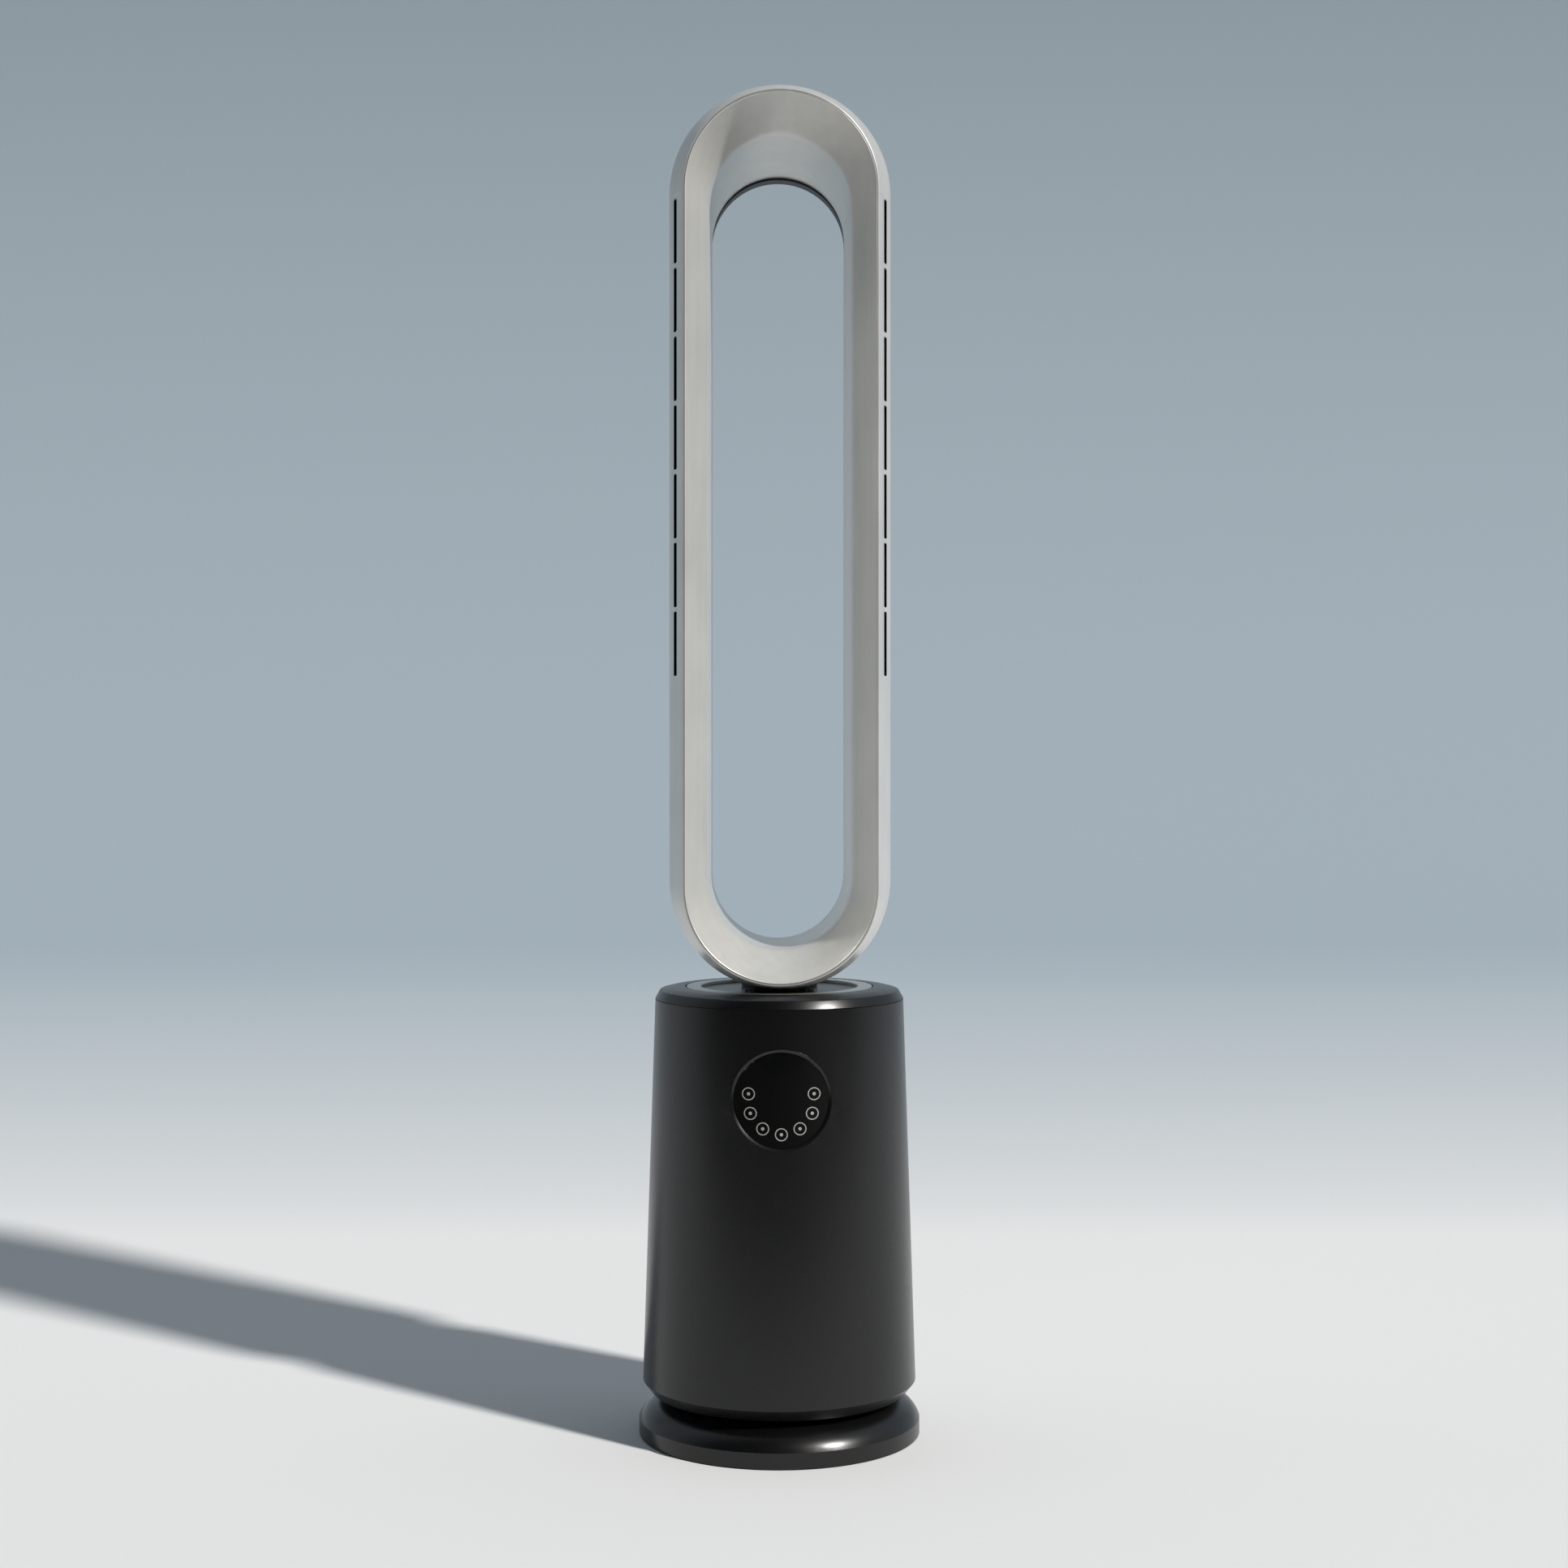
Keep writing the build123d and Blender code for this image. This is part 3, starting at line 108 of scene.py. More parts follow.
class Finish:
    """A material that is put together from expressions."""

    def __init__(self, name, **constants):
        self.material = bpy.data.materials.new(name)
        self.material.use_nodes = True
        self.tree = self.material.node_tree
        self.surface = self.tree.nodes["Principled BSDF"]
        for socket, value in constants.items():
            self.surface.inputs[socket.replace("_", " ").title().replace("Ior", "IOR")].default_value = value
        self.place = self.node("ShaderNodeTexCoord", output="Object")

    def node(self, kind, settings=None, values=None, output=0):
        """Any node: its settings are made first, then its sockets get values or links."""
        made = self.tree.nodes.new(kind)
        for key, value in (settings or {}).items():
            if key == "stops":
                first, last = made.color_ramp.elements
                first.position, last.position = value
            else:
                setattr(made, key, value)
        for key, value in (values or {}).items():
            if isinstance(value, Wire):
                self.tree.links.new(value.socket, made.inputs[key])
            else:
                made.inputs[key].default_value = value
        return Wire(self, made.outputs[output])

    def noise(self, scale, detail=2.0, roughness=0.5, stretch=None):
        """Soft random value around a half; stretch squeezes it along x, y and z."""
        vector = self.place
        if stretch:
            vector = self.node("ShaderNodeVectorMath", {"operation": "MULTIPLY"}, {0: self.place, 1: stretch})
        values = {"Vector": vector, "Scale": scale, "Detail": detail, "Roughness": roughness}
        return self.node("ShaderNodeTexNoise", None, values)

    def ramp(self, wire, low, high):
        """Turns a value into 0 below low and 1 above high."""
        return self.node("ShaderNodeValToRGB", {"stops": (low, high)}, {0: wire})

    def blend(self, factor, first, second):
        """Mixes two colours."""
        return self.node("ShaderNodeMix", {"data_type": "RGBA"}, {0: factor, 6: first, 7: second}, output=2)

    def feed(self, socket, wire):
        """Drives one socket of the surface."""
        self.tree.links.new(wire.socket, self.surface.inputs[socket])

    def relief(self, height, depth, strength=1.0):
        """Bumps the surface by a height, in metres at full height."""
        values = {"Height": height, "Distance": depth, "Strength": strength}
        self.feed("Normal", self.node("ShaderNodeBump", None, values))


def grey(level, blue=0.0):
    """Opaque grey, with a little more or less blue."""
    return (level, level, level * (1 + blue), 1.0)


# ---------------------------------------------------------------- finishes
def satin_silver(look):
    """Sprayed metallic paint: fine flake, faint mottle and long soft vertical streaks; the streaks vary the
    roughness and, in the colour, are a painted reflection.
    """
    made = Finish("satin_silver", metallic=look.silver_metallic, coat_weight=0.25, coat_roughness=0.22)
    streaks_and_sheen = made.noise(1.0, detail=5, stretch=(160.0, 160.0, 9.0))
    mottle = made.noise(24.0, detail=3)
    flake = made.noise(5200.0, detail=1)
    tone = mottle * 0.45 + streaks_and_sheen * 0.35 + flake * 0.2
    light = (*look.silver, 1.0)
    shade = tuple(c * 0.9 for c in look.silver) + (1.0,)
    # The streaks in this colour are a painted reflection; the mottle and flake are the paint's own tone.
    made.feed("Base Color", made.blend(made.ramp(tone, 0.36, 0.62), shade, light))
    made.feed("Roughness", look.silver_roughness - 0.05 + streaks_and_sheen * 0.07 + mottle * 0.05)
    made.relief(flake * 0.6 + mottle * 0.4, 0.00003, 0.35)
    return made.material


def satin_black(look):
    """Moulded black plastic with a fine spark-eroded grain and a little handling haze."""
    made = Finish("satin_black", ior=1.5)
    grain = made.noise(2600.0, detail=2)
    haze = made.noise(16.0, detail=4, roughness=0.6)
    made.feed("Base Color", made.blend(haze, (*look.black, 1.0), tuple(c * 1.5 for c in look.black) + (1.0,)))
    made.feed("Roughness", look.black_roughness - 0.03 + haze * 0.07 + grain * 0.02)
    made.relief(grain, 0.00004, 0.3)
    return made.material


def gloss_black(look):
    """Polished black panel with faint fingerprints."""
    made = Finish("gloss_black", ior=1.5, coat_weight=0.5, coat_roughness=0.03)
    smear = made.noise(60.0, detail=5, roughness=0.65)
    made.feed("Base Color", made.blend(smear, grey(0.001), grey(0.002)))
    made.feed("Roughness", 0.07 + made.ramp(smear, 0.45, 0.75) * 0.1)
    made.relief(made.noise(9.0), 0.0001, 0.05)
    return made.material


def silver_trim(look):
    """Satin aluminium-look trim with a turned grain."""
    made = Finish("silver_trim", metallic=0.9)
    grain = made.noise(1.0, detail=3, stretch=(260.0, 260.0, 4000.0))
    low = (*[c * 0.7 for c in look.silver], 1.0)
    high = (*[c * 0.9 for c in look.silver], 1.0)
    made.feed("Base Color", made.blend(grain, low, high))
    made.feed("Roughness", 0.26 + grain * 0.1)
    made.relief(grain, 0.00002, 0.25)
    return made.material


def dark_trim(look):
    """Matt blue-black plastic inside the loop; on the rear trim the colour is painted shade, standing in for
    the loop's rear edge in shadow.
    """
    made = Finish("dark_trim", ior=1.47)
    grain = made.noise(1900.0, detail=2)
    haze = made.noise(20.0, detail=3)
    made.feed("Base Color", made.blend(haze, (0.007, 0.0095, 0.014, 1.0), (0.011, 0.0145, 0.02, 1.0)))
    made.feed("Roughness", 0.46 + grain * 0.08)
    made.relief(grain, 0.00005, 0.35)
    return made.material


def key_print(look):
    """Pale screen-printed ink."""
    made = Finish("key_print", ior=1.45)
    wear = made.noise(900.0, detail=3)
    made.feed("Base Color", made.blend(made.ramp(wear, 0.3, 0.7), grey(0.27), (*look.print_ink, 1.0)))
    made.feed("Roughness", 0.42 + wear * 0.12)
    return made.material


def rubber(look):
    """Black moulded rubber with a dusty bloom."""
    made = Finish("rubber", ior=1.45)
    bloom = made.noise(140.0, detail=4)
    grain = made.noise(1500.0)
    made.feed("Base Color", made.blend(made.ramp(bloom, 0.35, 0.8), grey(0.012), grey(0.035)))
    made.feed("Roughness", 0.68 + bloom * 0.15)
    made.relief(grain, 0.00008, 0.4)
    return made.material


def inner_plastic(look):
    """Dark grey unpainted plastic of the inner mouldings, with flow marks."""
    made = Finish("inner_plastic", ior=1.47)
    flow = made.noise(1.0, detail=4, stretch=(30.0, 30.0, 8.0))
    grain = made.noise(1300.0)
    made.feed("Base Color", made.blend(flow, grey(0.022, 0.08), grey(0.042, 0.08)))
    made.feed("Roughness", 0.5 + grain * 0.1 + flow * 0.06)
    made.relief(grain, 0.00006, 0.35)
    return made.material


def slide_plastic(look):
    """Milky white bearing plastic."""
    made = Finish("slide_plastic", ior=1.48, subsurface_weight=0.1)
    cloud = made.noise(80.0, detail=3)
    made.feed("Base Color", made.blend(cloud, (0.66, 0.64, 0.58, 1.0), (0.78, 0.77, 0.72, 1.0)))
    made.feed("Roughness", 0.34 + cloud * 0.12)
    made.relief(made.noise(900.0), 0.00004, 0.2)
    return made.material


def cast_ballast(look):
    """Rough cast iron with a dull oxide skin."""
    made = Finish("cast_ballast", metallic=0.65)
    pits = made.noise(420.0, detail=5, roughness=0.7)
    rust = made.ramp(made.noise(45.0, detail=5), 0.52, 0.72)
    made.feed("Base Color", made.blend(rust, grey(0.07), (0.11, 0.055, 0.03, 1.0)))
    made.feed("Roughness", 0.55 + rust * 0.25)
    made.relief(pits, 0.0003, 0.6)
    return made.material


def steel(look):
    """Bright zinc-plated steel with turning marks."""
    made = Finish("steel", metallic=1.0)
    turning = made.noise(1.0, detail=2, stretch=(300.0, 300.0, 5200.0))
    spots = made.noise(260.0, detail=3)
    made.feed("Base Color", made.blend(spots, grey(0.42, 0.04), grey(0.6, 0.02)))
    made.feed("Roughness", 0.2 + turning * 0.16)
    made.relief(turning, 0.00002, 0.25)
    return made.material


def motor_metal(look):
    """Pressed and plated motor can."""
    made = Finish("motor_metal", metallic=1.0)
    crystal = made.node("ShaderNodeTexVoronoi", None, {"Vector": made.place, "Scale": 160.0})
    made.feed("Base Color", made.blend(crystal, grey(0.3, 0.05), grey(0.5, 0.03)))
    made.feed("Roughness", 0.28 + crystal * 0.2)
    made.relief(made.noise(700.0), 0.00003, 0.2)
    return made.material


def circuit_board(look):
    """Green solder mask over fine copper tracks."""
    made = Finish("circuit_board", ior=1.5, coat_weight=0.4, coat_roughness=0.1)
    cells = {"Vector": made.place, "Scale": 420.0, "Randomness": 0.25}
    tracks = made.ramp(made.node("ShaderNodeTexVoronoi", {"feature": "DISTANCE_TO_EDGE"}, cells), 0.03, 0.08)
    made.feed("Base Color", made.blend(tracks, (0.035, 0.16, 0.06, 1.0), (0.008, 0.07, 0.028, 1.0)))
    made.feed("Roughness", 0.24 + tracks * 0.12)
    made.relief(1 - tracks, 0.00006, 0.4)
    return made.material


FINISHES = {
    recipe.__name__: recipe
    for recipe in (
        satin_silver, satin_black, gloss_black, silver_trim, dark_trim, key_print, rubber,
        inner_plastic, slide_plastic, cast_ballast, steel, motor_metal, circuit_board,
    )
}


def finish(name):
    """The named material, made the first time it is asked for."""
    return bpy.data.materials.get(name + ".done") or make_finish(name)


def make_finish(name):
    """Builds one material and marks it as ready."""
    material = FINISHES[name](bpy.context.scene.fan_look)
    material.name = name + ".done"
    return material


def dress(node, name):
    """Gives a frame node its finish."""
    mesh = nodes[node].data
    mesh.materials.clear()
    mesh.materials.append(finish(name))


# ---------------------------------------------------------------- mesh helpers
def soften(points, rounds, steps=5):
    """Rounds the corners of a closed outline; a point may have any number of coordinates."""
    result = []
    count = len(points)
    for index, (here, radius) in enumerate(zip(points, rounds)):
        if not radius:
            result.append(tuple(here))
            continue
        ends = []
        for other in (points[index - 1], points[(index + 1) % count]):
            reach = sqrt(sum((o - h) ** 2 for o, h in zip(other[:2], here[:2])))
            share = min(0.45, radius / reach)
            ends.append([h + (o - h) * share for o, h in zip(other, here)])
        for step in range(steps + 1):
            t = step / steps
            result.append(tuple(
                (1 - t) ** 2 * a + 2 * t * (1 - t) * h + t * t * b for a, h, b in zip(ends[0], here, ends[1])
            ))
    return result


def solid(name, vertices, faces, body, slot, finish_name=None, sharp=38.0):
    """A finished closed piece from points in millimetres, riding on a body."""
    mesh = bpy.data.meshes.new(name)
    mesh.from_pydata([(x * MM, y * MM, z * MM) for x, y, z in vertices], [], faces)
    mesh.validate()
    work = bmesh.new()
    work.from_mesh(mesh)
    bmesh.ops.remove_doubles(work, verts=work.verts, dist=1e-7)
    bmesh.ops.recalc_face_normals(work, faces=work.faces)
    work.to_mesh(mesh)
    work.free()
    mesh.polygons.foreach_set("use_smooth", [True] * len(mesh.polygons))
    mesh.set_sharp_from_angle(angle=radians(sharp))
    piece = bpy.data.objects.new(name, mesh)
    bpy.context.scene.collection.objects.link(piece)
    mesh.materials.append(finish(finish_name or slot))
    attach(piece, body)
    return piece


def loop_faces(rings, around, closed=True):
    """Quads between rings of points that each go once round."""
    faces = []
    last = rings if closed else rings - 1
    for ring in range(last):
        following = (ring + 1) % rings
        for step in range(around):
            ahead = (step + 1) % around
            near, far = ring * around, following * around
            faces.append((near + step, near + ahead, far + ahead, far + step))
    return faces


def turned(outline, around=192):
    """Points and faces of a closed (radius, height) outline turned about the Z axis."""
    points = []
    for radius, height in outline:
        for step in range(around):
            turn = 2 * pi * step / around
            points.append((radius * cos(turn), radius * sin(turn), height))
    return points, loop_faces(len(outline), around)


def racetrack(half_width, depth, half_straight, middle, bend=48, straight=24):
    """Points once round an upright racetrack at one depth."""
    points = []
    for step in range(bend):
        turn = pi * step / bend
        points.append((half_width * cos(turn), depth, middle + half_straight + half_width * sin(turn)))
    for step in range(straight):
        points.append((-half_width, depth, middle + half_straight - 2 * half_straight * step / straight))
    for step in range(bend):
        turn = pi + pi * step / bend
        points.append((half_width * cos(turn), depth, middle - half_straight + half_width * sin(turn)))
    for step in range(straight):
        points.append((half_width, depth, middle - half_straight + 2 * half_straight * step / straight))
    return points


def loop_solid(outline):
    """Points and faces of a racetrack ring; the outline holds (half width, depth, half straight, middle)."""
    tracks = [racetrack(*point) for point in outline]
    return [point for track in tracks for point in track], loop_faces(len(tracks), len(tracks[0]))


def cone_radius(height):
    """Outside radius of the tapered tower at a height, in millimetres."""
    tower = bpy.context.scene.fan_tower
    share = (height - tower.wide_z) / (SHELL_HIGH[2] - tower.wide_z)
    return SHELL_HIGH[0] + (tower.top_radius - SHELL_HIGH[0]) * share


def on_tower(across, height, sink=0.0):
    """Point on the front of the tower's cone, a given depth below its surface."""
    radius = cone_radius(height) - sink
    return (across, -sqrt(radius ** 2 - across ** 2), height)


def front_ring(centre, outline, around=96):
    """Ring that lies on the tower's front; the outline holds (radius, depth below the surface)."""
    points = []
    for radius, sink in outline:
        for step in range(around):
            turn = 2 * pi * step / around
            points.append(on_tower(centre[0] + radius * cos(turn), centre[1] + radius * sin(turn), sink))
    return points, loop_faces(len(outline), around)


def front_disc(centre, radius, low, high, around=24):
    """Low button-shaped dot on the tower's front, between two depths below the surface."""
    points = front_ring(centre, [(radius, low), (radius, high + 0.03), (radius * 0.85, high)], around)[0]
    faces = loop_faces(3, around, closed=False)
    faces.append(tuple(range(around)))
    faces.append(tuple(range(2 * around, 3 * around)))
    return points, faces


# ---------------------------------------------------------------- settings
class FanLook(bpy.types.PropertyGroup):
    """Colours and gloss of the visible finishes."""

    silver: bpy.props.FloatVectorProperty(
        name="Silver", description="Colour of the loop's metallic paint", subtype="COLOR", size=3,
        default=(0.74, 0.735, 0.71), min=0, max=1)
    silver_metallic: bpy.props.FloatProperty(
        name="Silver metallic", description="How metallic the loop's paint is", default=0.5, min=0, max=1)
    silver_roughness: bpy.props.FloatProperty(
        name="Silver roughness", description="How soft the loop's reflections are",
        default=0.34, min=0, max=1)
    black: bpy.props.FloatVectorProperty(
        name="Black", description="Colour of the tower and the foot", subtype="COLOR", size=3,
        default=(0.0022, 0.0022, 0.0024), min=0, max=1)
    black_roughness: bpy.props.FloatProperty(
        name="Black roughness", description="How soft the tower's reflections are",
        default=0.26, min=0, max=1)
    print_ink: bpy.props.FloatVectorProperty(
        name="Key print", description="Colour of the marks on the keys", subtype="COLOR", size=3,
        default=(0.42, 0.42, 0.39), min=0, max=1)


class FanLoop(bpy.types.PropertyGroup):
    """Shape of the air loop, in millimetres."""

    lip: bpy.props.FloatProperty(
        name="Lip", description="Half width of the opening at the front lip", default=65.7)
    lip_straight: bpy.props.FloatProperty(
        name="Lip straight", description="Half length of the straight sides at the lip", default=241.7)
    lip_drop: bpy.props.FloatProperty(
        name="Lip drop", description="How far the lip's middle lies below the loop's", default=2.6)
    throat_front: bpy.props.FloatProperty(
        name="Throat front", description="Half width where the flare meets the throat", default=50.1)
    front_straight: bpy.props.FloatProperty(
        name="Front straight", description="Half length of the straight sides at the crease", default=236.1)
    front_drop: bpy.props.FloatProperty(
        name="Front drop", description="How far the crease's middle lies below the loop's", default=3.0)
    throat_rear: bpy.props.FloatProperty(
        name="Throat rear", description="Half width at the rear of the throat", default=48.4)
    rear_straight: bpy.props.FloatProperty(
        name="Rear straight", description="Half length of the straight sides at the rear", default=231.2)
    rear_drop: bpy.props.FloatProperty(
        name="Rear drop", description="How far the rear's middle lies below the loop's", default=7.8)
    flare_depth: bpy.props.FloatProperty(
        name="Flare depth", description="From the front lip back to the throat", default=35.0)
    wall: bpy.props.FloatProperty(name="Wall", description="Thickness of the shells", default=2.2)
    shoulder_back: bpy.props.FloatProperty(
        name="Shoulder", description="From the front lip back to the widest line", default=30.0)
    rear_inset: bpy.props.FloatProperty(
        name="Rear inset", description="How much narrower the rear edge is than the widest line", default=7.2)
    collar_flange: bpy.props.FloatProperty(
        name="Collar flange", description="How far the neck collar's flange stands past its tube",
        default=11.0)
    slots: bpy.props.IntProperty(name="Slots", description="Outlet slots on each side", default=7, min=1)
    slot_length: bpy.props.FloatProperty(name="Slot length", description="Length of a slot", default=45.0)
    slot_width: bpy.props.FloatProperty(
        name="Slot width", description="Width seen from the front", default=2.2)
    slot_bridge: bpy.props.FloatProperty(name="Bridge", description="Solid part between slots", default=2.8)
    slot_across: bpy.props.FloatProperty(
        name="Slot place", description="From the middle to a slot", default=73.1)
    slot_middle: bpy.props.FloatProperty(
        name="Slot height", description="Middle of the slot row", default=703.5)


class FanTower(bpy.types.PropertyGroup):
    """Shape of the tower, its deck and the foot, in millimetres."""

    wide_z: bpy.props.FloatProperty(name="Wide line", description="Height of the widest line", default=38.8)
    top_radius: bpy.props.FloatProperty(
        name="Top radius", description="Radius under the top deck", default=88.5)
    edge_radius: bpy.props.FloatProperty(
        name="Edge radius", description="Inner edge of the deck's chamfer", default=85.2)
    edge_z: bpy.props.FloatProperty(
        name="Edge height", description="Height of the chamfer's inner edge", default=315.4)
    dome_radius: bpy.props.FloatProperty(
        name="Dome radius", description="Radius half way up the deck's dome", default=77.5)
    dome_z: bpy.props.FloatProperty(
        name="Dome height", description="Height half way up the deck's dome", default=317.3)


class FanPanel(bpy.types.PropertyGroup):
    """Shape of the control panel and the marks on its keys, in millimetres."""

    bevel: bpy.props.FloatProperty(
        name="Bevel", description="Width of the ring round the lens", default=2.5)
    lens_sink: bpy.props.FloatProperty(
        name="Lens sink", description="Depth of the lens below the tower's surface", default=0.9)
    mark_radius: bpy.props.FloatProperty(
        name="Mark radius", description="Outside of a key's printed ring", default=4.45)
    mark_line: bpy.props.FloatProperty(
        name="Mark line", description="Width of the ring's line", default=0.75)
    dot_radius: bpy.props.FloatProperty(name="Dot radius", description="Dot in the middle", default=1.15)


# ---------------------------------------------------------------- pieces
class FAN_OT_air_loop(bpy.types.Operator):
    """Builds the loop's flared inner skin and slotted outer skin, and gives the rear trim a blue-black colour
    that is painted shade
    """

    bl_idname = "fan.air_loop"
    bl_label = "Air loop"

    def execute(self, context):
        size = context.scene.fan_loop
        widest = SKIN_HIGH[0]
        middle = (SKIN_LOW[2] + SKIN_HIGH[2]) / 2
        straight = (SKIN_HIGH[2] - SKIN_LOW[2]) / 2 - widest
        inner = loop_solid(self.inner_outline(size, middle))
        piece = solid("loop_inner_skin", *inner, "tower", "satin_silver")
        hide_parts("loop_front_shell")
        outer = loop_solid(self.outer_outline(size, widest, straight, middle))
        piece = solid("loop_outer_skin", *outer, "tower", "satin_silver", sharp=30.0)
        self.cut(piece, self.slot_cutters(size))
        self.cut(piece, self.neck_cutter(size, middle - straight - widest))
        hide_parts("loop_outer_shell")
        # The rear trim's blue-black colour is painted shade, standing in for the loop's shaded rear edge.
        dress("loop_rear_trim", "dark_trim")
        dress("nozzle_strips", "dark_trim")
        dress("loop_saddle", "inner_plastic")
        dress("flow_splitter", "inner_plastic")
        return {"FINISHED"}

    def inner_outline(self, size, middle):
        """Section of the flared inner skin: lip, crease and throat."""
        front, rear = INNER_LOW[1], INNER_HIGH[1]
        lip = (front, size.lip_straight, middle - size.lip_drop)
        crease = (front + size.flare_depth, size.front_straight, middle - size.front_drop)
        end = (rear, size.rear_straight, middle - size.rear_drop)
        return soften(
            [
                (size.lip, *lip), (size.throat_front, *crease), (size.throat_rear, *end),
                (size.throat_rear + size.wall, *end), (size.throat_front + size.wall, *crease),
                (INNER_HIGH[0], *lip),
            ],
            [0.9, 5.0, 0, 0, 0, 0.5],
        )

    def outer_outline(self, size, widest, straight, middle):
        """Section of the outer skin: slotted band, widest line and tapering back."""
        front, rear = SKIN_LOW[1], SKIN_HIGH[1]
        lip = (size.lip_straight, middle - size.lip_drop)
        full = (straight, middle)
        shoulder = front + size.shoulder_back
        run = rear - shoulder
        outer = [(INNER_HIGH[0] + 1.25, front, *lip), (widest, shoulder, *full)]
        handles = [(widest, 0.0), (widest, 0.3), (widest - 2.0, 0.7), (widest - size.rear_inset, 1.0)]
        for step in range(1, 13):
            t = step / 12
            weights = [(1 - t) ** 3, 3 * t * (1 - t) ** 2, 3 * t * t * (1 - t), t ** 3]
            width = sum(w * h[0] for w, h in zip(weights, handles))
            outer.append((width, shoulder + run * sum(w * h[1] for w, h in zip(weights, handles)), *full))
        inside = [(width - size.wall, *rest) for width, *rest in reversed(outer[1:])]
        inside.append((INNER_HIGH[0] + SEAT_GAP, front, *lip))
        return soften(outer + inside, [0.5, 7.0] + [0] * 11 + [1.0] + [0] * len(inside))

    def slot_cutters(self, size):
        """One mesh of round-ended bars that open the outlet slots."""
        front = SKIN_LOW[1]
        points, faces = [], []
        half, end = size.slot_width / 2, (size.slot_length - size.slot_width) / 2
        pitch = size.slot_length + size.slot_bridge
        around = 24
        for side in (-1, 1):
            for index in range(size.slots):
                centre = size.slot_middle + (index - (size.slots - 1) / 2) * pitch
                first = len(points)
                for depth in (front - 1, front + size.shoulder_back + 4):
                    for step in range(around):
                        turn = 2 * pi * (step + 0.5) / around
                        lift = end if sin(turn) > 0 else -end
                        across = side * size.slot_across + half * cos(turn)
                        points.append((across, depth, centre + lift + half * sin(turn)))
                bar = loop_faces(2, around, closed=False)
                bar += [tuple(range(around)), tuple(range(around, 2 * around))]
                faces += [tuple(first + corner for corner in face) for face in bar]
        return points, faces

    def neck_cutter(self, size, bottom):
        """Round bar that opens the bottom of the loop for the neck."""
        radius = box_mm("neck_collar")[1][1] - size.collar_flange + SEAT_GAP
        points = turned([(radius, bottom - 5), (radius, bottom + 13)], 96)[0]
        return points, loop_faces(2, 96, closed=False) + [tuple(range(96)), tuple(range(96, 192))]

    def cut(self, piece, shape):
        """Cuts a closed shape out of a piece for good."""
        mesh = bpy.data.meshes.new("cutter")
        mesh.from_pydata([(x * MM, y * MM, z * MM) for x, y, z in shape[0]], [], shape[1])
        work = bmesh.new()
        work.from_mesh(mesh)
        bmesh.ops.recalc_face_normals(work, faces=work.faces)
        work.to_mesh(mesh)
        work.free()
        cutter = bpy.data.objects.new("cutter", mesh)
        bpy.context.scene.collection.objects.link(cutter)
        step = piece.modifiers.new("cut", "BOOLEAN")
        step.operation, step.solver, step.object = "DIFFERENCE", "EXACT", cutter
        with bpy.context.temp_override(object=piece, active_object=piece):
            bpy.ops.object.modifier_apply(modifier=step.name)
        bpy.data.objects.remove(cutter)
        piece.data.set_sharp_from_angle(angle=radians(30))


class FAN_OT_tower(bpy.types.Operator):
    """Finishes the tower's shell and grille and builds its soft-edged deck and trim ring"""

    bl_idname = "fan.tower"
    bl_label = "Tower and deck"

    def execute(self, context):
        size = context.scene.fan_tower
        for node in ("tower_shell", "intake_grille", "neck_collar", "deck_dish"):
            dress(node, "satin_black")
        dress("chassis", "inner_plastic")
        ring_low, ring_high = box_mm("trim_ring")
        dish = box_mm("deck_dish")[1][0]
        spigot = DECK_HIGH[0] - 2.75
        foot = SHELL_HIGH[2] + 0.3
        wall = 2.4
        hole = ring_high[0] + 0.9
        deck = [
            (DECK_HIGH[0], foot), (size.edge_radius, size.edge_z), (size.dome_radius, size.dome_z),
            (hole, DECK_HIGH[2]), (hole, ring_low[2]), (dish + SEAT_GAP, ring_low[2]),
            (dish + SEAT_GAP, ring_low[2] - wall), (size.edge_radius - wall, size.edge_z - 2.9),
            (spigot - wall, foot), (spigot - wall, DECK_LOW[2]), (spigot, DECK_LOW[2]), (spigot, foot),
        ]
        outline = soften(deck, [0.5, 0.7, 4.5, 0.35, 0, 0, 0, 0, 0, 0, 0, 0])
        piece = solid("deck_cover", *turned(outline), "tower", "satin_black")
        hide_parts("top_deck")
        bore = dish - 2.5
        section = [
            (ring_high[0], ring_low[2]), (ring_high[0], ring_high[2]),
            (bore, ring_high[2]), (bore, ring_low[2]),
        ]
        ring = soften(section, [0, 0.45, 0.45, 0])
        piece = solid("silver_ring", *turned(ring), "tower", "silver_trim")
        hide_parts("trim_ring")
        return {"FINISHED"}


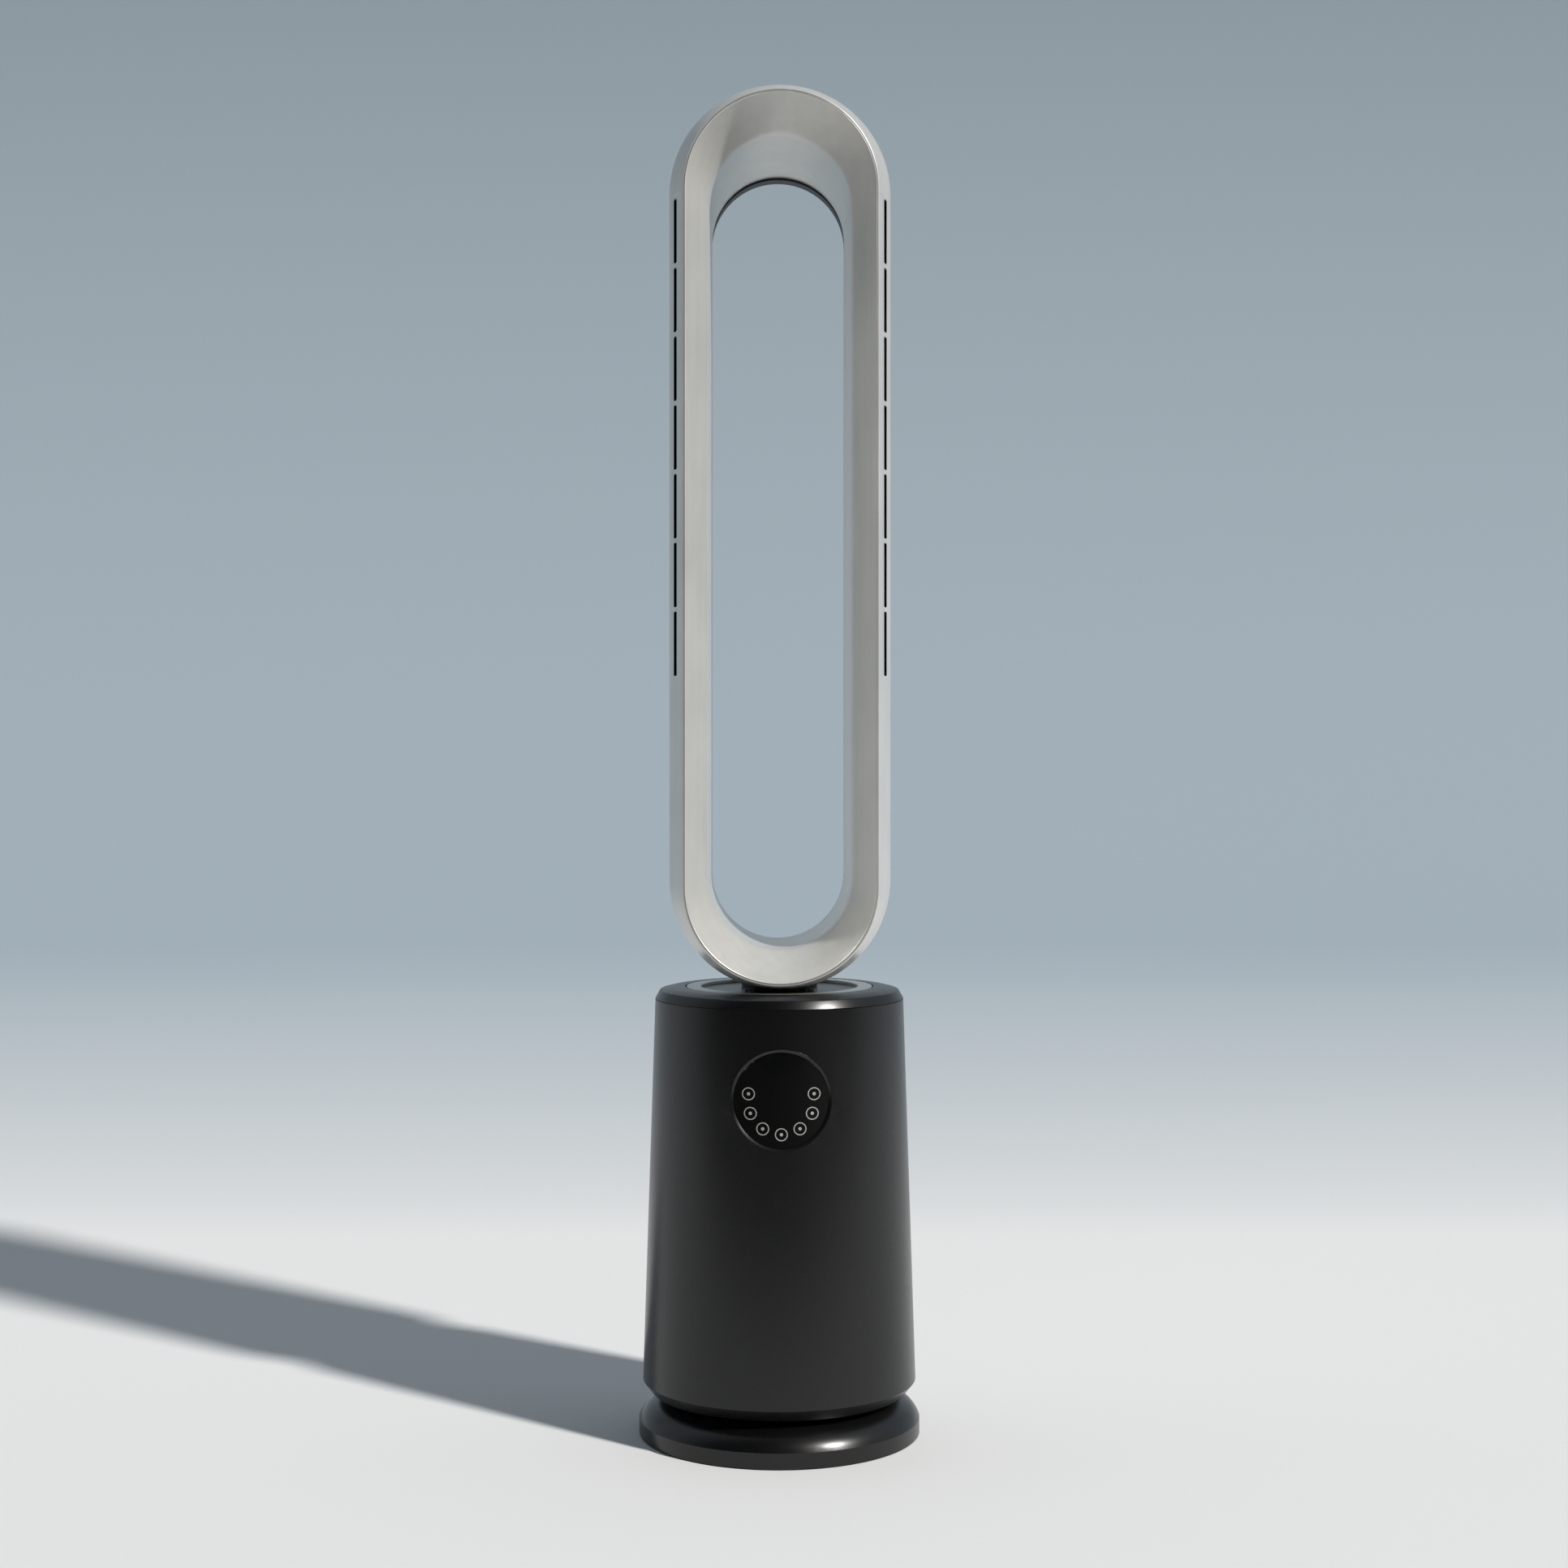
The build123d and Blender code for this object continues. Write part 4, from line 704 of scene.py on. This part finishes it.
class FAN_OT_control_panel(bpy.types.Operator):
    """Builds the bevelled ring round the lens and the printed marks on the keys"""

    bl_idname = "fan.control_panel"
    bl_label = "Control panel"

    def execute(self, context):
        size = context.scene.fan_panel
        radius = BEZEL_HIGH[0]
        height = (BEZEL_LOW[2] + BEZEL_HIGH[2]) / 2
        lens = radius - size.bevel
        outline = soften(
            [
                (radius, 3.0), (radius, -0.12), (radius - 0.5, -0.12),
                (lens, size.lens_sink + 0.25), (lens, 3.0),
            ],
            [0, 0.15, 0.25, 0.2, 0],
        )
        piece = solid("lens_ring", *front_ring((0, height), outline, 144), "tower", "satin_black")
        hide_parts("panel_bezel")
        dress("panel_lens", "gloss_black")
        for node in KEYS:
            dress(node, "gloss_black")
            self.mark_key(node, size)
        dress("control_board", "circuit_board")
        dress("key_switches", "inner_plastic")
        return {"FINISHED"}

    def mark_key(self, node, size):
        """Printed ring and dot on one key, which travel with it."""
        low, high = box_mm(node)
        centre = ((low[0] + high[0]) / 2, (low[2] + high[2]) / 2)
        top = size.lens_sink - 0.15 - 0.05
        line = [
            (size.mark_radius - 0.05, top + 0.12), (size.mark_radius - 0.05, top),
            (size.mark_radius - size.mark_line, top), (size.mark_radius - size.mark_line, top + 0.12),
        ]
        solid(f"{node}_ring", *front_ring(centre, line, 48), node, "gloss_black", "key_print")
        dot = front_disc(centre, size.dot_radius, top + 0.12, top)
        solid(f"{node}_dot", *dot, node, "gloss_black", "key_print")


class FAN_OT_foot(bpy.types.Operator):
    """Finishes the foot's cover and what is under it"""

    bl_idname = "fan.foot"
    bl_label = "Foot"

    def execute(self, context):
        dress("foot_cover", "satin_black")
        dress("foot_pan", "inner_plastic")
        dress("foot_pads", "rubber")
        dress("foot_ballast", "cast_ballast")
        dress("foot_screws", "steel")
        dress("power_inlet", "inner_plastic")
        return {"FINISHED"}


class FAN_OT_blower(bpy.types.Operator):
    """Finishes the impeller, its motor and the duct round them"""

    bl_idname = "fan.blower"
    bl_label = "Blower"

    def execute(self, context):
        for node in ("blower_duct", "inlet_bell", "diffuser", "impeller"):
            dress(node, "inner_plastic")
        for node in ("blower_mounts", "riser_seal", "motor_sleeve"):
            dress(node, "rubber")
        for node in ("fan_motor", "motor_rotor"):
            dress(node, "motor_metal")
        for node in ("fan_shaft", "impeller_nut", "motor_bearings", "blower_screws"):
            dress(node, "steel")
        return {"FINISHED"}


class FAN_OT_swivel_drive(bpy.types.Operator):
    """Finishes the swivel bearing, its gears, motor and boards"""

    bl_idname = "fan.swivel_drive"
    bl_label = "Swivel drive"

    def execute(self, context):
        for node in ("swivel_gear", "gear_nut", "drive_pinion", "swivel_bush", "ball_cage"):
            dress(node, "slide_plastic")
        for node in (
            "swivel_post", "lower_race", "upper_race", "swivel_balls", "pinion_shaft", "shell_screws",
            "neck_screws", "bracket_screws", "board_screws",
        ):
            dress(node, "steel")
        dress("motor_bracket", "inner_plastic")
        dress("swivel_motor", "motor_metal")
        dress("power_board", "circuit_board")
        return {"FINISHED"}


class FAN_OT_stage(bpy.types.Operator):
    """Adds the floor, the lights and the camera"""

    bl_idname = "fan.stage"
    bl_label = "Stage"

    def execute(self, context):
        scene = context.scene
        scene.view_settings.view_transform = "Standard"
        floor = self.floor()
        self.light("key_sun", (0.604, -0.489, 0.629), 3.9, (1.0, 0.97, 0.93))
        self.world(scene)
        self.camera(scene)
        return {"FINISHED"}

    def floor(self):
        """Pale floor that turns up behind the fan into a blue-grey wall and darkens far in front."""
        reach, bend, radius = 4.0, 0.9, 2.2
        profile = [(-reach, 0.0), (bend, 0.0)]
        for step in range(1, 25):
            turn = radians(90) * step / 24
            profile.append((bend + radius * sin(turn), radius * (1 - cos(turn))))
        profile.append((bend + radius, 3.4))
        points = [(side * reach, y, z) for y, z in profile for side in (-1, 1)]
        faces = [(2 * i, 2 * i + 1, 2 * i + 3, 2 * i + 2) for i in range(len(profile) - 1)]
        mesh = bpy.data.meshes.new("floor")
        mesh.from_pydata(points, [], faces)
        mesh.polygons.foreach_set("use_smooth", [True] * len(mesh.polygons))
        floor = bpy.data.objects.new("floor", mesh)
        bpy.context.scene.collection.objects.link(floor)
        made = Finish("pale_floor", roughness=0.9)
        depth = made.node("ShaderNodeSeparateXYZ", None, {0: made.place}, output=1)
        wall = made.ramp(depth * 0.5 + made.noise(1.2) * 0.02, 0.36, 0.92)
        near = made.ramp(depth * 0.25 + 1.0, 0.6, 0.9)
        tone = made.blend(wall, (0.76, 0.765, 0.77, 1.0), (0.3, 0.365, 0.42, 1.0))
        made.feed("Base Color", made.blend(near, grey(0.01), tone))
        mesh.materials.append(made.material)
        return floor

    def light(self, name, towards, strength, colour):
        """Sun that shines from a direction."""
        lamp = bpy.data.lights.new(name, "SUN")
        lamp.energy, lamp.color, lamp.angle = strength, colour, radians(4)
        sun = bpy.data.objects.new(name, lamp)
        sun.rotation_euler = Vector(towards).to_track_quat("Z", "Y").to_euler()
        bpy.context.scene.collection.objects.link(sun)

    def world(self, scene):
        """Blue-grey room that is bright behind and beside the fan and dark in front of it."""
        scene.world = bpy.data.worlds.new("studio")
        scene.world.use_nodes = True
        tree = scene.world.node_tree
        place = tree.nodes.new("ShaderNodeTexCoord")
        parts = tree.nodes.new("ShaderNodeSeparateXYZ")
        ramp = tree.nodes.new("ShaderNodeValToRGB")
        back = tree.nodes["Background"]
        tree.links.new(place.outputs["Generated"], parts.inputs[0])
        shift = tree.nodes.new("ShaderNodeMath")
        shift.operation = "MULTIPLY_ADD"
        shift.inputs[1].default_value = 0.5
        shift.inputs[2].default_value = 0.5
        tree.links.new(parts.outputs[1], shift.inputs[0])
        tree.links.new(shift.outputs[0], ramp.inputs[0])
        tree.links.new(ramp.outputs[0], back.inputs["Color"])
        first, last = ramp.color_ramp.elements
        first.position, first.color = 0.3, (0.03, 0.035, 0.04, 1.0)
        last.position, last.color = 0.55, (0.42, 0.48, 0.53, 1.0)
        back.inputs["Strength"].default_value = 0.9

    def camera(self, scene):
        """Level camera a little below the middle of the fan."""
        lens = bpy.data.cameras.new("camera")
        lens.lens, lens.sensor_width = 56.83, 36.0
        lens.shift_x, lens.shift_y = 0.003, -0.0233
        camera = bpy.data.objects.new("camera", lens)
        turn = radians(-0.9)
        camera.location = (1.77 * sin(turn), -1.77 * cos(turn), 0.488)
        camera.rotation_euler = (radians(90), 0, turn)
        scene.collection.objects.link(camera)
        scene.camera = camera


OPERATORS = (
    FAN_OT_stage, FAN_OT_foot, FAN_OT_swivel_drive, FAN_OT_blower,
    FAN_OT_tower, FAN_OT_control_panel, FAN_OT_air_loop,
)


class FAN_PT_sidebar(bpy.types.Panel):
    """Buttons that build the fan piece by piece"""

    bl_idname = "FAN_PT_sidebar"
    bl_label = "Tower Fan"
    bl_space_type = "VIEW_3D"
    bl_region_type = "UI"
    bl_category = "Tower Fan"

    def draw(self, context):
        for operator in OPERATORS:
            self.layout.operator(operator.bl_idname)


SETTINGS = {"fan_look": FanLook, "fan_loop": FanLoop, "fan_tower": FanTower, "fan_panel": FanPanel}


def register():
    for name, group in SETTINGS.items():
        bpy.utils.register_class(group)
        setattr(bpy.types.Scene, name, bpy.props.PointerProperty(type=group))
    for kind in (*OPERATORS, FAN_PT_sidebar):
        bpy.utils.register_class(kind)


def unregister():
    for kind in (FAN_PT_sidebar, *reversed(OPERATORS)):
        bpy.utils.unregister_class(kind)
    for name, group in SETTINGS.items():
        delattr(bpy.types.Scene, name)
        bpy.utils.unregister_class(group)


def main():
    register()
    for operator in OPERATORS:
        getattr(bpy.ops.fan, operator.bl_idname.split(".")[1])()


if __name__ == "__main__":
    main()
